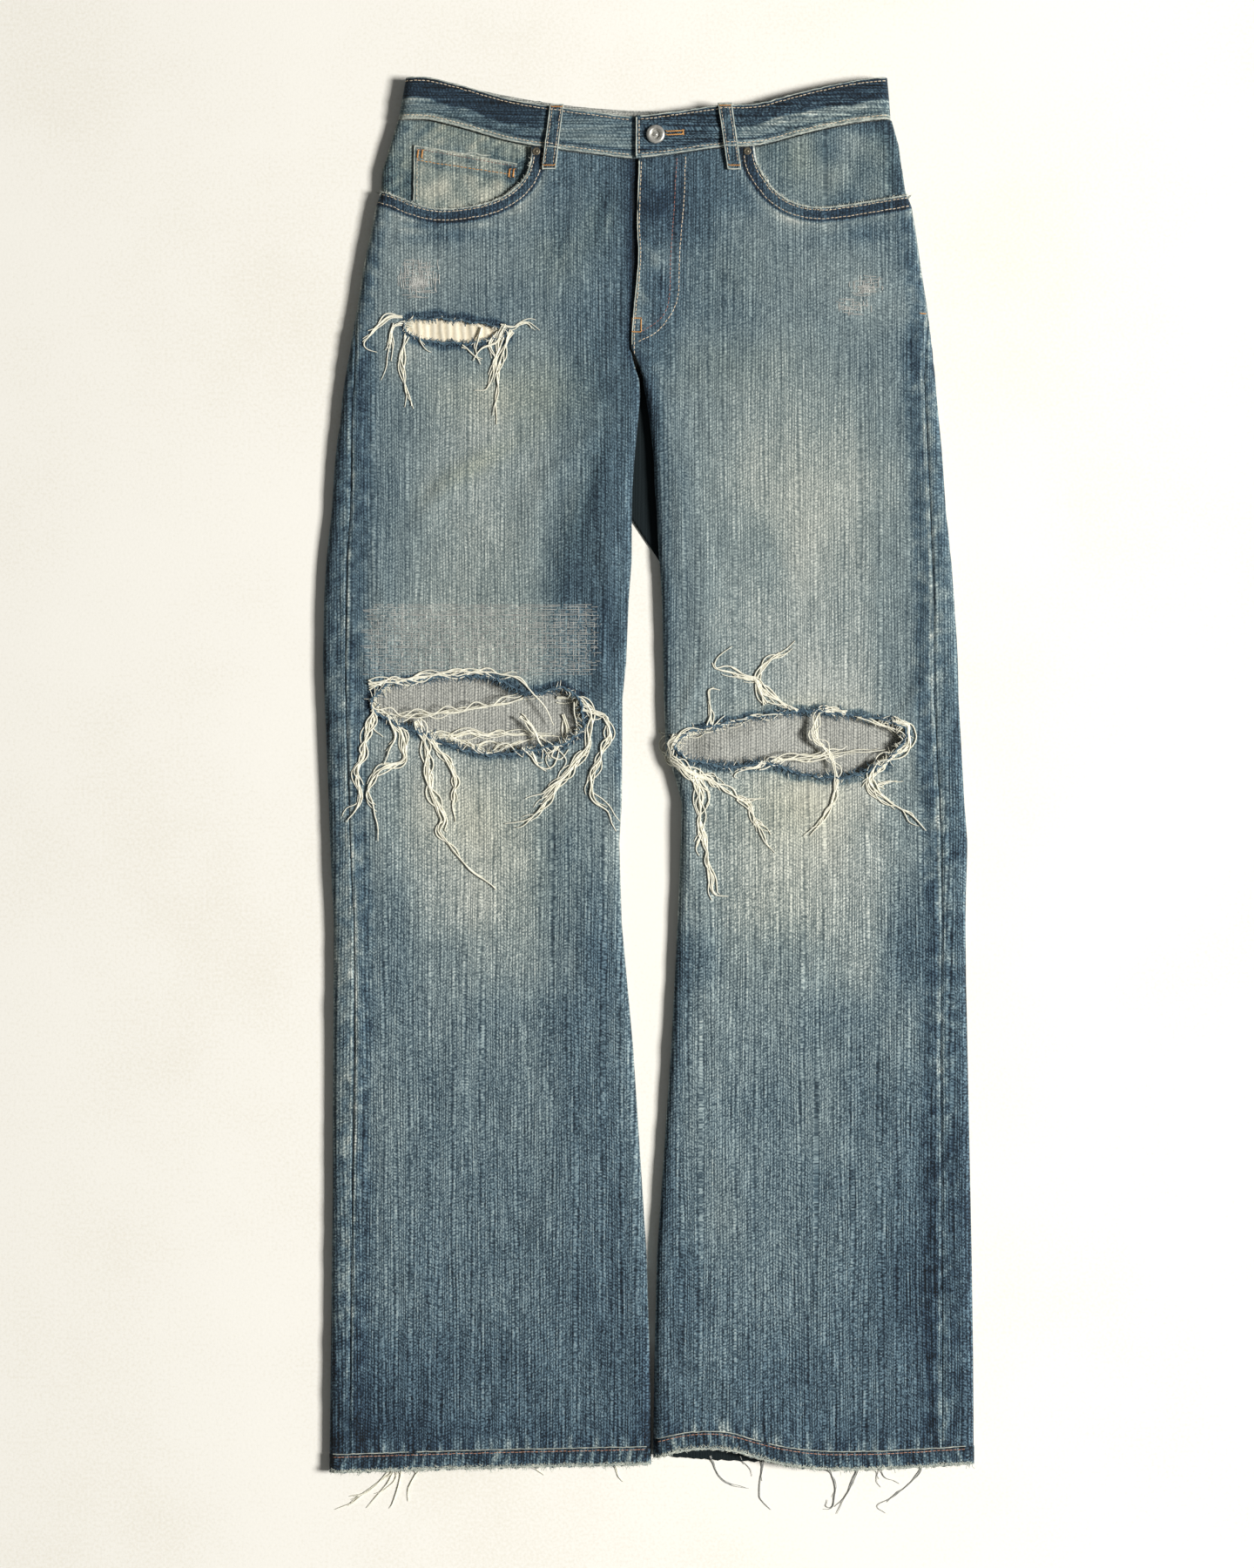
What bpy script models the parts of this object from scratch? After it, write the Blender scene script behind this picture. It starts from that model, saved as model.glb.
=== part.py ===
"""Ripped five-pocket jeans, lying flat on their back with the legs side by side.

Blender 4.5 script, metres, +Z up. The waist is at +Y, the hems at -Y, and the wearer's right leg
is at -X. The origin is on the surface that the jeans lie on, under the middle of the garment.

Tables are in millimetres, as a cutter would write them. "drop" is the distance down the garment
from the top of the waistband at its side. Each leg is a flattened tube of cloth. Its cross-section
has a rounded fold at each side, and every panel is a run of that section between two seams.
"""

import math
from collections import namedtuple

import bmesh
import bpy
from mathutils import Vector

# ---------------------------------------------------------------- driving sizes (mm)
LENGTH = 1122.0  # waistband top at the side to the lowest hem corner
DENIM = 1.4  # wall of a leg panel
SEAM_GAP = 0.35  # between pieces that lie on each other
EDGE_GAP = 0.8  # between pieces that meet edge to edge
SIDE_GAP = 1.3  # between front and back along the outseam
BAND_WALL = 2.2  # waistband, two layers with interlining
BAND_HEIGHT = 34.0
HEM_WALL = 2.4  # turned hem
HEM_DEPTH = 14.0
SEAT_LIFT = 1.55  # the seat lies on its back pockets and back belt loops
PATCH = 1.2  # wall of back pockets and back belt loops
LINING = 1.0  # wall of pocket facings and fly underlap
COIN_WALL = 0.9
BAG_WALL = 1.0
OUTER_FOLD = 9.0  # depth of the rounded fold at the outseam side
WAIST_SEAM = 34.0  # drop of the waistband seam at the side
SMOOTH_BY = 150.0  # below this drop the rows of a panel run straight across
HEM_FROM = 1000.0  # from this drop on, the rows bend into the hem's line
FRONT_COLUMNS = 14
BACK_COLUMNS = 14
EDGE_COLUMNS = 5  # of those, along a panel's inner edge
EDGE_RUN = 8.0  # width of that part where the panel is flat
FOLD_WEIGHT = 34.0  # mm of girth that a radian of bend counts for when points are spaced

# ---------------------------------------------------------------- garment tables (mm)
# Flat outline of each leg: outer edge, inner edge (the fly edge above the crotch), and how far
# the outseam lies in from the outer edge on the front.
Outline = namedtuple("Outline", "drop outer inner seam_inset")
RIGHT_OUTLINE = [
    Outline(34, -201.5, -9.0, 0.0),
    Outline(55, -208.0, -9.0, 0.0),
    Outline(75, -214.0, -9.0, 0.0),
    Outline(92, -214.5, -9.5, 0.0),
    Outline(104, -219.0, -10.0, 0.0),
    Outline(122, -222.5, -9.5, 0.0),
    Outline(150, -228.5, -9.5, 0.0),
    Outline(185, -234.0, -12.5, 0.0),
    Outline(201, -237.0, -14.0, 2.0),
    Outline(218, -239.5, -14.5, 4.7),
    Outline(242, -244.0, -7.0, 8.0),
    Outline(258, -246.0, -7.0, 8.5),
    Outline(275, -247.5, -8.5, 9.5),
    Outline(302, -251.5, -11.0, 13.0),
    Outline(330, -253.5, -13.0, 14.7),
    Outline(350, -255.0, -13.5, 15.5),
    Outline(388, -259.0, -13.5, 17.0),
    Outline(420, -261.0, -16.0, 18.5),
    Outline(470, -262.0, -18.0, 18.5),
    Outline(499, -260.5, -21.0, 17.5),
    Outline(583, -257.0, -21.5, 16.5),
    Outline(615, -256.0, -23.5, 16.5),
    Outline(681, -253.0, -21.5, 16.5),
    Outline(779, -253.5, -12.5, 17.5),
    Outline(947, -254.5, -1.5, 16.0),
    Outline(1030, -255.5, 1.0, 16.0),
    Outline(1107, -256.5, 2.0, 16.5),
]
LEFT_OUTLINE = [
    Outline(34, 195.0, -8.5, 0.0),
    Outline(55, 201.0, -8.5, 0.0),
    Outline(75, 203.5, -8.5, 0.0),
    Outline(92, 206.0, -9.0, 0.0),
    Outline(104, 211.0, -9.5, 0.0),
    Outline(122, 214.0, -9.0, 0.0),
    Outline(150, 218.0, -9.0, 0.0),
    Outline(185, 223.5, -12.0, 0.0),
    Outline(201, 225.5, -13.5, 2.5),
    Outline(218, 227.5, -14.0, 6.0),
    Outline(242, 230.0, -5.5, 9.5),
    Outline(258, 231.5, -2.0, 10.5),
    Outline(275, 233.0, 0.5, 11.0),
    Outline(302, 235.5, 3.5, 12.0),
    Outline(330, 237.5, 5.0, 13.0),
    Outline(350, 239.0, 6.5, 13.5),
    Outline(388, 243.0, 8.5, 16.0),
    Outline(420, 245.5, 10.5, 17.5),
    Outline(470, 248.5, 11.5, 20.5),
    Outline(499, 249.0, 12.0, 20.5),
    Outline(541, 251.5, 13.5, 21.0),
    Outline(562, 252.5, 21.0, 21.0),
    Outline(583, 253.5, 26.5, 21.0),
    Outline(615, 256.0, 25.5, 22.0),
    Outline(681, 254.5, 23.0, 19.5),
    Outline(779, 256.0, 18.0, 22.3),
    Outline(947, 259.5, 6.5, 24.5),
    Outline(1030, 261.0, 4.5, 26.0),
    Outline(1107, 261.5, 3.5, 26.5),
]

# How high each leg stands at its outer fold, middle and inner fold, how far the front and the
# back curl round the inner fold (degrees), the fold's depth, the flat inner edge of the back
# where it doesn't curl, and how far the back lies above the floor.
Form = namedtuple("Form", "drop outer middle inner curl_front curl_back fold back_edge lift")
RIGHT_FORM = [
    Form(34, 13.8, 14.2, 13.0, 0, 0, 0.0, -0.2, SEAT_LIFT),
    Form(185, 13.2, 12.8, 11.9, 0, 0, 0.0, -4.0, SEAT_LIFT),
    Form(218, 12.8, 12.3, 11.5, 0, 0, 0.0, -5.5, SEAT_LIFT),
    Form(242, 12.5, 11.8, 11.2, 45, 0, 3.5, -7.5, SEAT_LIFT),
    Form(258, 12.3, 11.4, 11.2, 115, 0, 6.0, -9.0, SEAT_LIFT),
    Form(275, 12.0, 11.1, 11.2, 150, 0, 8.0, -11.0, 1.35),
    Form(302, 11.7, 10.6, 11.2, 150, 0, 8.0, -13.8, 0.7),
    Form(330, 11.5, 10.2, 11.0, 150, 0, 8.0, -16.3, 0.0),
    Form(350, 11.5, 9.8, 11.0, 150, 0, 8.0, -17.3, 0.0),
    Form(364, 11.5, 9.7, 11.0, 84, 0, 8.0, -20.5, 0.0),
    Form(388, 11.5, 9.6, 11.0, 84, 84, 8.0, -20.5, 0.0),
    Form(583, 11.5, 9.6, 10.5, 84, 84, 8.0, -20.5, 0.0),
    Form(779, 11.0, 9.4, 10.5, 84, 84, 8.0, -20.5, 0.0),
    Form(1107, 10.5, 9.4, 10.5, 84, 84, 8.0, -20.5, 0.0),
]
LEFT_FORM = [
    Form(34, 13.8, 14.2, 14.6, 0, 0, 0.0, 0.2, SEAT_LIFT),
    Form(185, 13.2, 12.8, 13.4, 0, 0, 0.0, -3.6, SEAT_LIFT),
    Form(218, 12.8, 12.3, 12.5, 0, 0, 0.0, -5.1, SEAT_LIFT),
    Form(242, 12.5, 11.8, 11.8, 45, 0, 3.5, -7.1, SEAT_LIFT),
    Form(258, 12.3, 11.4, 11.3, 115, 0, 6.0, -8.6, SEAT_LIFT),
    Form(275, 12.0, 11.1, 11.2, 150, 0, 8.0, -10.6, 1.35),
    Form(302, 11.7, 10.6, 11.2, 150, 0, 8.0, -13.4, 0.7),
    Form(330, 11.5, 10.2, 11.0, 160, 0, 8.0, -15.9, 0.0),
    Form(350, 11.5, 9.8, 11.0, 160, 0, 8.0, -16.9, 0.0),
    Form(388, 11.5, 9.6, 11.0, 160, 0, 8.0, 8.5, 0.0),
    Form(402, 11.5, 9.6, 11.0, 84, 0, 8.0, 16.5, 0.0),
    Form(424, 11.5, 9.6, 11.0, 84, 84, 8.0, 17.5, 0.0),
    Form(779, 11.5, 9.6, 11.0, 84, 84, 8.0, 17.5, 0.0),
    Form(1030, 10.5, 10.4, 12.0, 84, 84, 8.5, 17.5, 0.0),
    Form(1107, 10.5, 12.6, 14.5, 84, 84, 9.5, 17.5, 0.0),
]

# Lines across the garment: how far down each line lies at a distance from the centre.
Point = namedtuple("Point", "across drop")
FRONT_WAIST = [
    Point(-196, 0), Point(-178, 0.5), Point(-158, 5), Point(-111, 18), Point(-68, 25),
    Point(-40, 28.5), Point(-11, 31.5), Point(18, 28.5), Point(56, 23), Point(89, 21), Point(116, 14),
    Point(138, 8.5), Point(169, 2.5), Point(190, 0),
]
BACK_WAIST = [
    Point(-196, 0), Point(-175, 1), Point(-140, 8), Point(-90, 17.5), Point(-40, 23.5),
    Point(0, 25.5), Point(40, 23.5), Point(90, 17.5), Point(140, 7.5), Point(175, 1), Point(190, 0),
]
RIGHT_HEM_FRONT = [Point(-257, 1122), Point(-134, 1118.5), Point(2, 1115.5)]
RIGHT_HEM_BACK = [Point(-257, 1122), Point(-134, 1119), Point(2, 1115.5)]
LEFT_HEM_FRONT = [
    Point(3.5, 1109.5), Point(27, 1104), Point(49, 1102.5), Point(66, 1104), Point(87, 1110),
    Point(113, 1116), Point(142, 1119), Point(178, 1119), Point(261, 1115),
]
LEFT_HEM_BACK = [Point(3.5, 1109.5), Point(50, 1113), Point(95, 1115), Point(142, 1118), Point(261, 1115)]
YOKE_SIDE, YOKE_CENTRE = 72.0, 118.0  # drop of the yoke seam at the side and at the centre back

# Pocket mouths and rips, as outlines on the flat front.
RIGHT_MOUTH = [
    Point(-94.5, 50), Point(-95, 66), Point(-98.5, 77.5), Point(-105.5, 87), Point(-117, 95.5),
    Point(-134, 102), Point(-158, 105.5), Point(-175, 105), Point(-190, 101), Point(-203, 95.5),
    Point(-219, 90),
]
LEFT_MOUTH = [
    Point(84, 50), Point(87, 69), Point(93.5, 81), Point(102.5, 92), Point(116, 100.5),
    Point(133.5, 104.5), Point(152, 103.5), Point(178, 99.5), Point(199, 96), Point(212, 93),
]
THIGH_RIP = [
    Point(-195.5, 198), Point(-183, 195), Point(-161, 195), Point(-134.5, 198.5), Point(-116, 202.5),
    Point(-117, 208.5), Point(-128, 211), Point(-148, 214), Point(-174, 212.5), Point(-191, 207),
]
RIGHT_KNEE_RIP = [
    Point(-221.5, 500), Point(-207, 488), Point(-180, 484.5), Point(-144, 481.5), Point(-126, 484),
    Point(-109, 491), Point(-94, 496), Point(-68, 492), Point(-57, 502), Point(-53, 514),
    Point(-58, 528), Point(-82, 538), Point(-116, 543), Point(-134, 543), Point(-155, 538),
    Point(-177, 529), Point(-203, 519), Point(-219, 509),
]
LEFT_KNEE_RIP = [
    Point(23, 536), Point(36, 526), Point(54, 521.5), Point(80, 516), Point(107, 511), Point(134, 510.5),
    Point(161, 513), Point(193, 518.5), Point(206, 526), Point(200, 538), Point(188, 551),
    Point(173, 558), Point(152, 562), Point(125, 560), Point(107, 554), Point(89, 551),
    Point(68, 553.5), Point(41, 550), Point(27, 544),
]

FACING_COLUMNS = 11
FACING_DROPS = (34.4, 55, 75, 92, 110, 128)
FACING_GIRTH = 138.0  # how far a pocket facing reaches in from the side seam
BAG_TOP, BAG_BOTTOM = 128.5, 252.0
UNDERLAP_LEFT, UNDERLAP_RIGHT, UNDERLAP_BOTTOM = -26.0, 24.0, 196.0

BUTTON_AT = (5.5, 47.0)
BUTTON_RADIUS = 7.5
RIVETS = {"rivet_right": (-90.4, 60.0), "rivet_left": (79.2, 60.0)}
RIVET_RADIUS = 3.3
Loop = namedtuple("Loop", "top_across top_drop bottom_across bottom_drop")
FRONT_LOOPS = {
    "belt_loop_front_right": Loop(-74.0, 23.0, -80.3, 75.0),
    "belt_loop_front_left": Loop(61.0, 22.0, 68.5, 75.0),
}
BACK_LOOPS = {
    "belt_loop_back_right": Loop(-92.0, 17.0, -93.0, 70.0),
    "belt_loop_back_centre": Loop(2.0, 25.0, 1.0, 78.0),
    "belt_loop_back_left": Loop(92.0, 17.0, 93.0, 70.0),
}
LOOP_WIDTH, LOOP_WALL = 11.0, 1.5

DENIM_BLUE = (0.105, 0.165, 0.225)
DENIM_DARK = (0.035, 0.065, 0.12)
FADED_BLUE = (0.19, 0.24, 0.25)
CREAM = (0.62, 0.54, 0.42)
STEEL = (0.58, 0.57, 0.54)
COPPER = (0.30, 0.27, 0.20)

Leg = namedtuple("Leg", "name outward outline form hem_front hem_back")
RIGHT_LEG = Leg("right", -1, RIGHT_OUTLINE, RIGHT_FORM, RIGHT_HEM_FRONT, RIGHT_HEM_BACK)
LEFT_LEG = Leg("left", 1, LEFT_OUTLINE, LEFT_FORM, LEFT_HEM_FRONT, LEFT_HEM_BACK)


# ---------------------------------------------------------------- reading the tables
def between(table, drop, column):
    """A table's column at a drop, on the straight line between its rows."""
    if drop <= table[0].drop:
        return float(getattr(table[0], column))
    for upper, lower in zip(table, table[1:]):
        if drop <= lower.drop:
            share = (drop - upper.drop) / (lower.drop - upper.drop)
            return getattr(upper, column) * (1 - share) + getattr(lower, column) * share
    return float(getattr(table[-1], column))


def line_drop(line, across):
    """How far down a smooth line across the garment lies, at a distance from the centre."""
    if across <= line[0].across:
        return float(line[0].drop)
    for i, (first, second) in enumerate(zip(line, line[1:])):
        if across <= second.across:
            before, after = line[max(i - 1, 0)], line[min(i + 2, len(line) - 1)]
            width = second.across - first.across
            t = (across - first.across) / width
            slope_in = width * (second.drop - before.drop) / (second.across - before.across)
            slope_out = width * (after.drop - first.drop) / (after.across - first.across)
            rise = second.drop - first.drop
            return first.drop + t * (slope_in + t * (3 * rise - 2 * slope_in - slope_out
                                                     + t * (slope_in + slope_out - 2 * rise)))
    return float(line[-1].drop)


def to_world(across, drop, height):
    """Garment millimetres to metres, with the origin under the middle of the garment."""
    return Vector((across / 1000, (LENGTH / 2 - drop) / 1000, height / 1000))


# ---------------------------------------------------------------- the leg's cross-section
def ease(share):
    share = min(1.0, max(0.0, share))
    return share * share * (3 - 2 * share)


def top_height(leg, drop, share):
    """Height of the front's outer surface, from the outer fold (0) to the inner fold (1)."""
    outer, middle, inner = (between(leg.form, drop, name) for name in ("outer", "middle", "inner"))
    if share < 0.5:
        return outer + (middle - outer) * ease(2 * share)
    return middle + (inner - middle) * ease(2 * share - 1)


Section = namedtuple("Section", "front front_edge back back_edge")


def section(leg, drop, wall, rise=0.0, inset=0.0):
    """Middle lines of the front and the back at a drop, as (across, height) points in mm.

    Both start at the outermost point of the outer fold. The front runs over the top and the back
    runs underneath, and each ends with a short run at its inner edge. rise makes the top surface
    stand that much higher, and inset draws the whole line in from the outside of the garment.
    """
    outer_edge = between(leg.outline, drop, "outer")
    width = abs(between(leg.outline, drop, "inner") - outer_edge)
    fold = between(leg.form, drop, "fold")
    floor = between(leg.form, drop, "lift") + wall / 2 + inset
    under = rise - wall / 2 - inset  # from the top surface to the line

    def place(inward, height):
        return (outer_edge - leg.outward * inward, height)

    def arc(depth, high, inward, angle, side, low=floor):
        """A point on a fold: angle 90 is its outermost point, 0 its top and 180 its bottom."""
        centre, tall = (high + low) / 2, (high - low) / 2
        reach = max(depth - wall / 2 - inset, 0.2)
        angle = math.radians(angle)
        return place(inward + side * reach * math.sin(angle), centre + tall * math.cos(angle))

    high = top_height(leg, drop, 0) + under
    front = [arc(OUTER_FOLD, high, OUTER_FOLD, 90 - step * 15, -1) for step in range(7)]
    back = [arc(OUTER_FOLD, high, OUTER_FOLD, 90 + step * 15, -1) for step in range(7)]
    start = OUTER_FOLD
    end = width - max(fold, EDGE_RUN)
    for step in range(1, 17):
        share = step / 16
        front.append(place(start + (end - start) * share, top_height(leg, drop, share) + under))

    curl_front = between(leg.form, drop, "curl_front")
    curl_back = between(leg.form, drop, "curl_back")
    high = top_height(leg, drop, 1) + under
    rests_on_back = ease((curl_front - 90) / 40)  # a fold that curls right under lies on the back
    low = floor + rests_on_back * (wall + SEAM_GAP)
    if curl_front > 0:
        front_edge = [place(end, high)]
        front_edge += [arc(fold, high, width - fold, curl_front * i / 6, 1, low) for i in range(7)]
    else:
        front_edge = [place(end + (width - end) * i / 6, high) for i in range(7)]
    if curl_back > 0:
        back_edge = [place(end, floor)]
        back_edge += [arc(fold, high, width - fold, 180 - curl_back * i / 6, 1) for i in range(7)]
    else:
        last = between(leg.form, drop, "back_edge")
        back_edge = [(last + leg.outward * EDGE_RUN * (1 - i / 6), floor) for i in range(7)]
    return Section(front, front_edge, back, back_edge)


def spaced(points, count, start=0.0, end=None):
    """count points along a line from start to end (mm of its length), closer where it bends."""
    points = [Vector(p) for p in points]
    lengths = [0.0]
    for a, b in zip(points, points[1:]):
        lengths.append(lengths[-1] + (b - a).length)
    end = lengths[-1] if end is None else end

    def at(length):
        for i in range(1, len(lengths)):
            if length <= lengths[i] or i == len(lengths) - 1:
                part = (length - lengths[i - 1]) / max(lengths[i] - lengths[i - 1], 1e-9)
                return points[i - 1].lerp(points[i], part)

    fine = 240
    marks = [start + (end - start) * i / fine for i in range(fine + 1)]
    line = [at(mark) for mark in marks]
    weights = [0.0]
    for i in range(1, len(line)):
        bend = 0.0
        if i < len(line) - 1:
            before, after = line[i] - line[i - 1], line[i + 1] - line[i]
            if before.length > 1e-9 and after.length > 1e-9:
                bend = abs(before.angle(after))
        weights.append(weights[-1] + (line[i] - line[i - 1]).length + FOLD_WEIGHT * bend)
    found = []
    for i in range(count):
        wanted = weights[-1] * i / (count - 1)
        j = next(k for k in range(1, len(weights)) if weights[k] >= wanted - 1e-9)
        share = (wanted - weights[j - 1]) / max(weights[j] - weights[j - 1], 1e-9)
        found.append(line[j - 1].lerp(line[j], min(1.0, max(0.0, share))))
    return found


def joined(run, edge, start=0.0, columns=FRONT_COLUMNS):
    """Columns along a run and then along the inner edge that follows it."""
    first = spaced(list(run) + [edge[0]], columns - EDGE_COLUMNS + 1, start)
    return first + spaced(edge, EDGE_COLUMNS)[1:]


def outseam_length(leg, drop, front):
    """Girth from the outermost point to the outseam, along the front's middle line."""
    inset = between(leg.outline, drop, "seam_inset")
    outer_edge = between(leg.outline, drop, "outer")
    length = 0.0
    for a, b in zip(front, front[1:]):
        a, b = Vector(a), Vector(b)
        inward_a, inward_b = abs(a.x - outer_edge), abs(b.x - outer_edge)
        if inward_b >= inset and inset > inward_a:
            return length + (b - a).length * (inset - inward_a) / (inward_b - inward_a)
        if inset <= inward_a:
            return length
        length += (b - a).length
    return length


# ---------------------------------------------------------------- where each row lies
def front_drop(leg, nominal, across):
    """Drop of a point of the front: rows follow the waist seam at the top and the hem below."""
    drop = nominal
    if nominal < SMOOTH_BY:
        share = (SMOOTH_BY - nominal) / (SMOOTH_BY - WAIST_SEAM)
        drop += share * (line_drop(FRONT_WAIST, across) + BAND_HEIGHT - WAIST_SEAM)
    return bend_to_hem(leg.hem_front, nominal, across, drop)


def back_drop(leg, nominal, across):
    """Drop of a point of the back panel, whose rows start along the yoke seam."""
    drop = nominal
    if nominal < SMOOTH_BY + 60:
        share = (SMOOTH_BY + 60 - nominal) / (SMOOTH_BY + 60 - YOKE_SIDE)
        drop += share * (yoke_drop(across) - YOKE_SIDE)
    return bend_to_hem(leg.hem_back, nominal, across, drop)


def bend_to_hem(hem, nominal, across, drop):
    if nominal > HEM_FROM:
        last = RIGHT_OUTLINE[-1].drop
        share = ease((nominal - HEM_FROM) / (last - HEM_FROM))
        drop += share * (line_drop(hem, across) - HEM_DEPTH - EDGE_GAP - last)
    return drop


def yoke_drop(across):
    return YOKE_CENTRE + (YOKE_SIDE - YOKE_CENTRE) * min(1.0, abs(across) / 190)


# ---------------------------------------------------------------- building with Blender
def clear_scene():
    for thing in list(bpy.data.objects):
        bpy.data.objects.remove(thing, do_unlink=True)


def material(name, colour, roughness=0.9, metallic=0.0):
    made = bpy.data.materials.get(name) or bpy.data.materials.new(name)
    made.use_nodes = True
    shader = made.node_tree.nodes["Principled BSDF"]
    shader.inputs["Base Color"].default_value = (*colour, 1)
    shader.inputs["Roughness"].default_value = roughness
    shader.inputs["Metallic"].default_value = metallic
    return made


def link(name, mesh, stuff):
    thing = bpy.data.objects.new(name, mesh)
    bpy.context.scene.collection.objects.link(thing)
    mesh.materials.append(stuff)
    return thing


def smooth(mesh):
    mesh.shade_smooth()
    mesh.set_sharp_from_angle(angle=math.radians(40))


def sheet(name, rows, wall, stuff, closed=False, cuts=()):
    """A cloth wall on a grid of middle points (rows of Vectors in metres), with cutters applied."""
    bm = bmesh.new()
    grid = [[bm.verts.new(point) for point in row] for row in rows]
    columns = len(rows[0])
    for upper, lower in zip(grid, grid[1:]):
        for i in range(columns if closed else columns - 1):
            j = (i + 1) % columns
            bm.faces.new((upper[i], upper[j], lower[j], lower[i]))
    bmesh.ops.recalc_face_normals(bm, faces=bm.faces)
    mesh = bpy.data.meshes.new(name)
    bm.to_mesh(mesh)
    bm.free()
    smooth(mesh)
    thing = link(name, mesh, stuff)
    wall_modifier = thing.modifiers.new("Wall", "SOLIDIFY")
    wall_modifier.thickness = wall / 1000
    wall_modifier.offset = 0
    wall_modifier.use_even_offset = True
    for cutter in cuts:
        cut = thing.modifiers.new("Cut " + cutter.name, "BOOLEAN")
        cut.operation = "DIFFERENCE"
        cut.object = cutter
    return thing


def cutter(name, outline, low=5.0, high=40.0):
    """An upright prism on an outline of the flat front, for a rip or a pocket mouth."""
    bm = bmesh.new()
    base = [bm.verts.new(to_world(p.across, p.drop, low)) for p in outline]
    face = bm.faces.new(base)
    raised = bmesh.ops.extrude_face_region(bm, geom=[face])
    moved = [v for v in raised["geom"] if isinstance(v, bmesh.types.BMVert)]
    bmesh.ops.translate(bm, verts=moved, vec=(0, 0, (high - low) / 1000))
    bmesh.ops.recalc_face_normals(bm, faces=bm.faces)
    mesh = bpy.data.meshes.new(name)
    bm.to_mesh(mesh)
    bm.free()
    thing = bpy.data.objects.new(name, mesh)
    bpy.context.scene.collection.objects.link(thing)
    thing.hide_render = True
    thing.display_type = "WIRE"
    return thing


def turned(name, profile, segments, at, stuff):
    """A round piece spun from a closed (radius, height) profile in mm, outer side first."""
    bm = bmesh.new()
    line = [bm.verts.new(Vector((radius, 0, height)) / 1000) for radius, height in profile]
    edges = [bm.edges.new(pair) for pair in zip(line, line[1:])]
    bmesh.ops.spin(
        bm, geom=line + edges, cent=(0, 0, 0), axis=(0, 0, 1),
        angle=math.tau, steps=segments, use_merge=True,
    )
    bmesh.ops.remove_doubles(bm, verts=bm.verts, dist=1e-6)
    bmesh.ops.recalc_face_normals(bm, faces=bm.faces)
    mesh = bpy.data.meshes.new(name)
    bm.to_mesh(mesh)
    bm.free()
    smooth(mesh)
    thing = link(name, mesh, stuff)
    thing.location = at
    return thing


# ---------------------------------------------------------------- leg panels
def panel_drops(leg, first, last):
    """Rows of a panel: everywhere that one of the leg's two tables has one."""
    stations = sorted({row.drop for row in leg.outline} | {row.drop for row in leg.form})
    return [first, *(drop for drop in stations if first + 5 < drop < last - 5), last]


def front_panel(leg, stuff, cuts):
    """One leg's front, from the outseam to the fly edge and then to the inseam."""
    rows = []
    for drop in panel_drops(leg, WAIST_SEAM + EDGE_GAP, RIGHT_OUTLINE[-1].drop):
        cut = section(leg, drop, DENIM)
        start = outseam_length(leg, drop, cut.front) + SIDE_GAP / 2
        line = joined(cut.front, cut.front_edge, start)
        rows.append([to_world(p.x, front_drop(leg, drop, p.x), p.y) for p in line])
    return sheet("front_" + leg.name, rows, DENIM, stuff, cuts=cuts)


def back_panel(leg, stuff):
    """One leg's back, from the outseam round the outer fold and underneath to the inseam."""
    rows = []
    for drop in panel_drops(leg, YOKE_SIDE + EDGE_GAP, RIGHT_OUTLINE[-1].drop):
        cut = section(leg, drop, DENIM)
        seam = outseam_length(leg, drop, cut.front)
        wrapped = [tuple(p) for p in spaced(cut.front, 16, 0.0, max(seam - SIDE_GAP / 2, 0.1))]
        line = wrapped[::-1] + cut.back[1:] if seam > SIDE_GAP else cut.back
        points = joined(line, cut.back_edge, 0.0 if seam > SIDE_GAP else SIDE_GAP / 2, BACK_COLUMNS)
        rows.append([to_world(p.x, back_drop(leg, drop, p.x), p.y) for p in points])
    return sheet("back_" + leg.name, rows, DENIM, stuff)


def yoke(leg, stuff):
    """The shaped piece between the waistband and a back panel."""
    rows = []
    for share in (0.0, 0.5, 1.0):
        nominal = WAIST_SEAM + EDGE_GAP + share * (YOKE_SIDE - WAIST_SEAM - EDGE_GAP)
        cut = section(leg, nominal, DENIM)
        row = []
        for p in spaced(cut.back + cut.back_edge, BACK_COLUMNS - 3, SIDE_GAP / 2):
            top = line_drop(BACK_WAIST, p.x) + BAND_HEIGHT + EDGE_GAP
            drop = top * (1 - share) + (yoke_drop(p.x) - EDGE_GAP / 2) * share
            row.append(to_world(p.x, drop, p.y))
        rows.append(row)
    return sheet("yoke_" + leg.name, rows, DENIM, stuff)


def hem(leg, stuff):
    """The turned hem, a ring round the leg opening."""
    nominal = RIGHT_OUTLINE[-1].drop
    cut = section(leg, nominal, HEM_WALL, rise=0.8)
    over = joined(cut.front, cut.front_edge, columns=16)
    under = joined(cut.back, cut.back_edge, columns=14)
    girth = over[::-1] + under[1:]
    low, high = min(p.y for p in girth), max(p.y for p in girth)
    rows = []
    for up in (HEM_DEPTH, HEM_DEPTH / 2, 0.0):
        row = []
        for p in girth:
            share = (p.y - low) / (high - low)
            on_front = line_drop(leg.hem_front, p.x)
            on_back = line_drop(leg.hem_back, p.x)
            row.append(to_world(p.x, on_back + (on_front - on_back) * ease(share) - up, p.y))
        rows.append(row)
    return sheet("hem_" + leg.name, rows, HEM_WALL, stuff, closed=True)


# ---------------------------------------------------------------- front pockets
def facing(leg, stuff, depth):
    """The denim seen through a pocket mouth, depth mm under the front's own middle line."""
    rows = []
    for drop in FACING_DROPS:
        front = section(leg, drop, DENIM, inset=depth).front
        line = spaced(front, FACING_COLUMNS, 2.4, FACING_GIRTH)
        rows.append([to_world(p.x, front_drop(leg, drop, p.x), p.y) for p in line])
    return sheet("pocket_facing_" + leg.name, rows, LINING, stuff)


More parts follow.
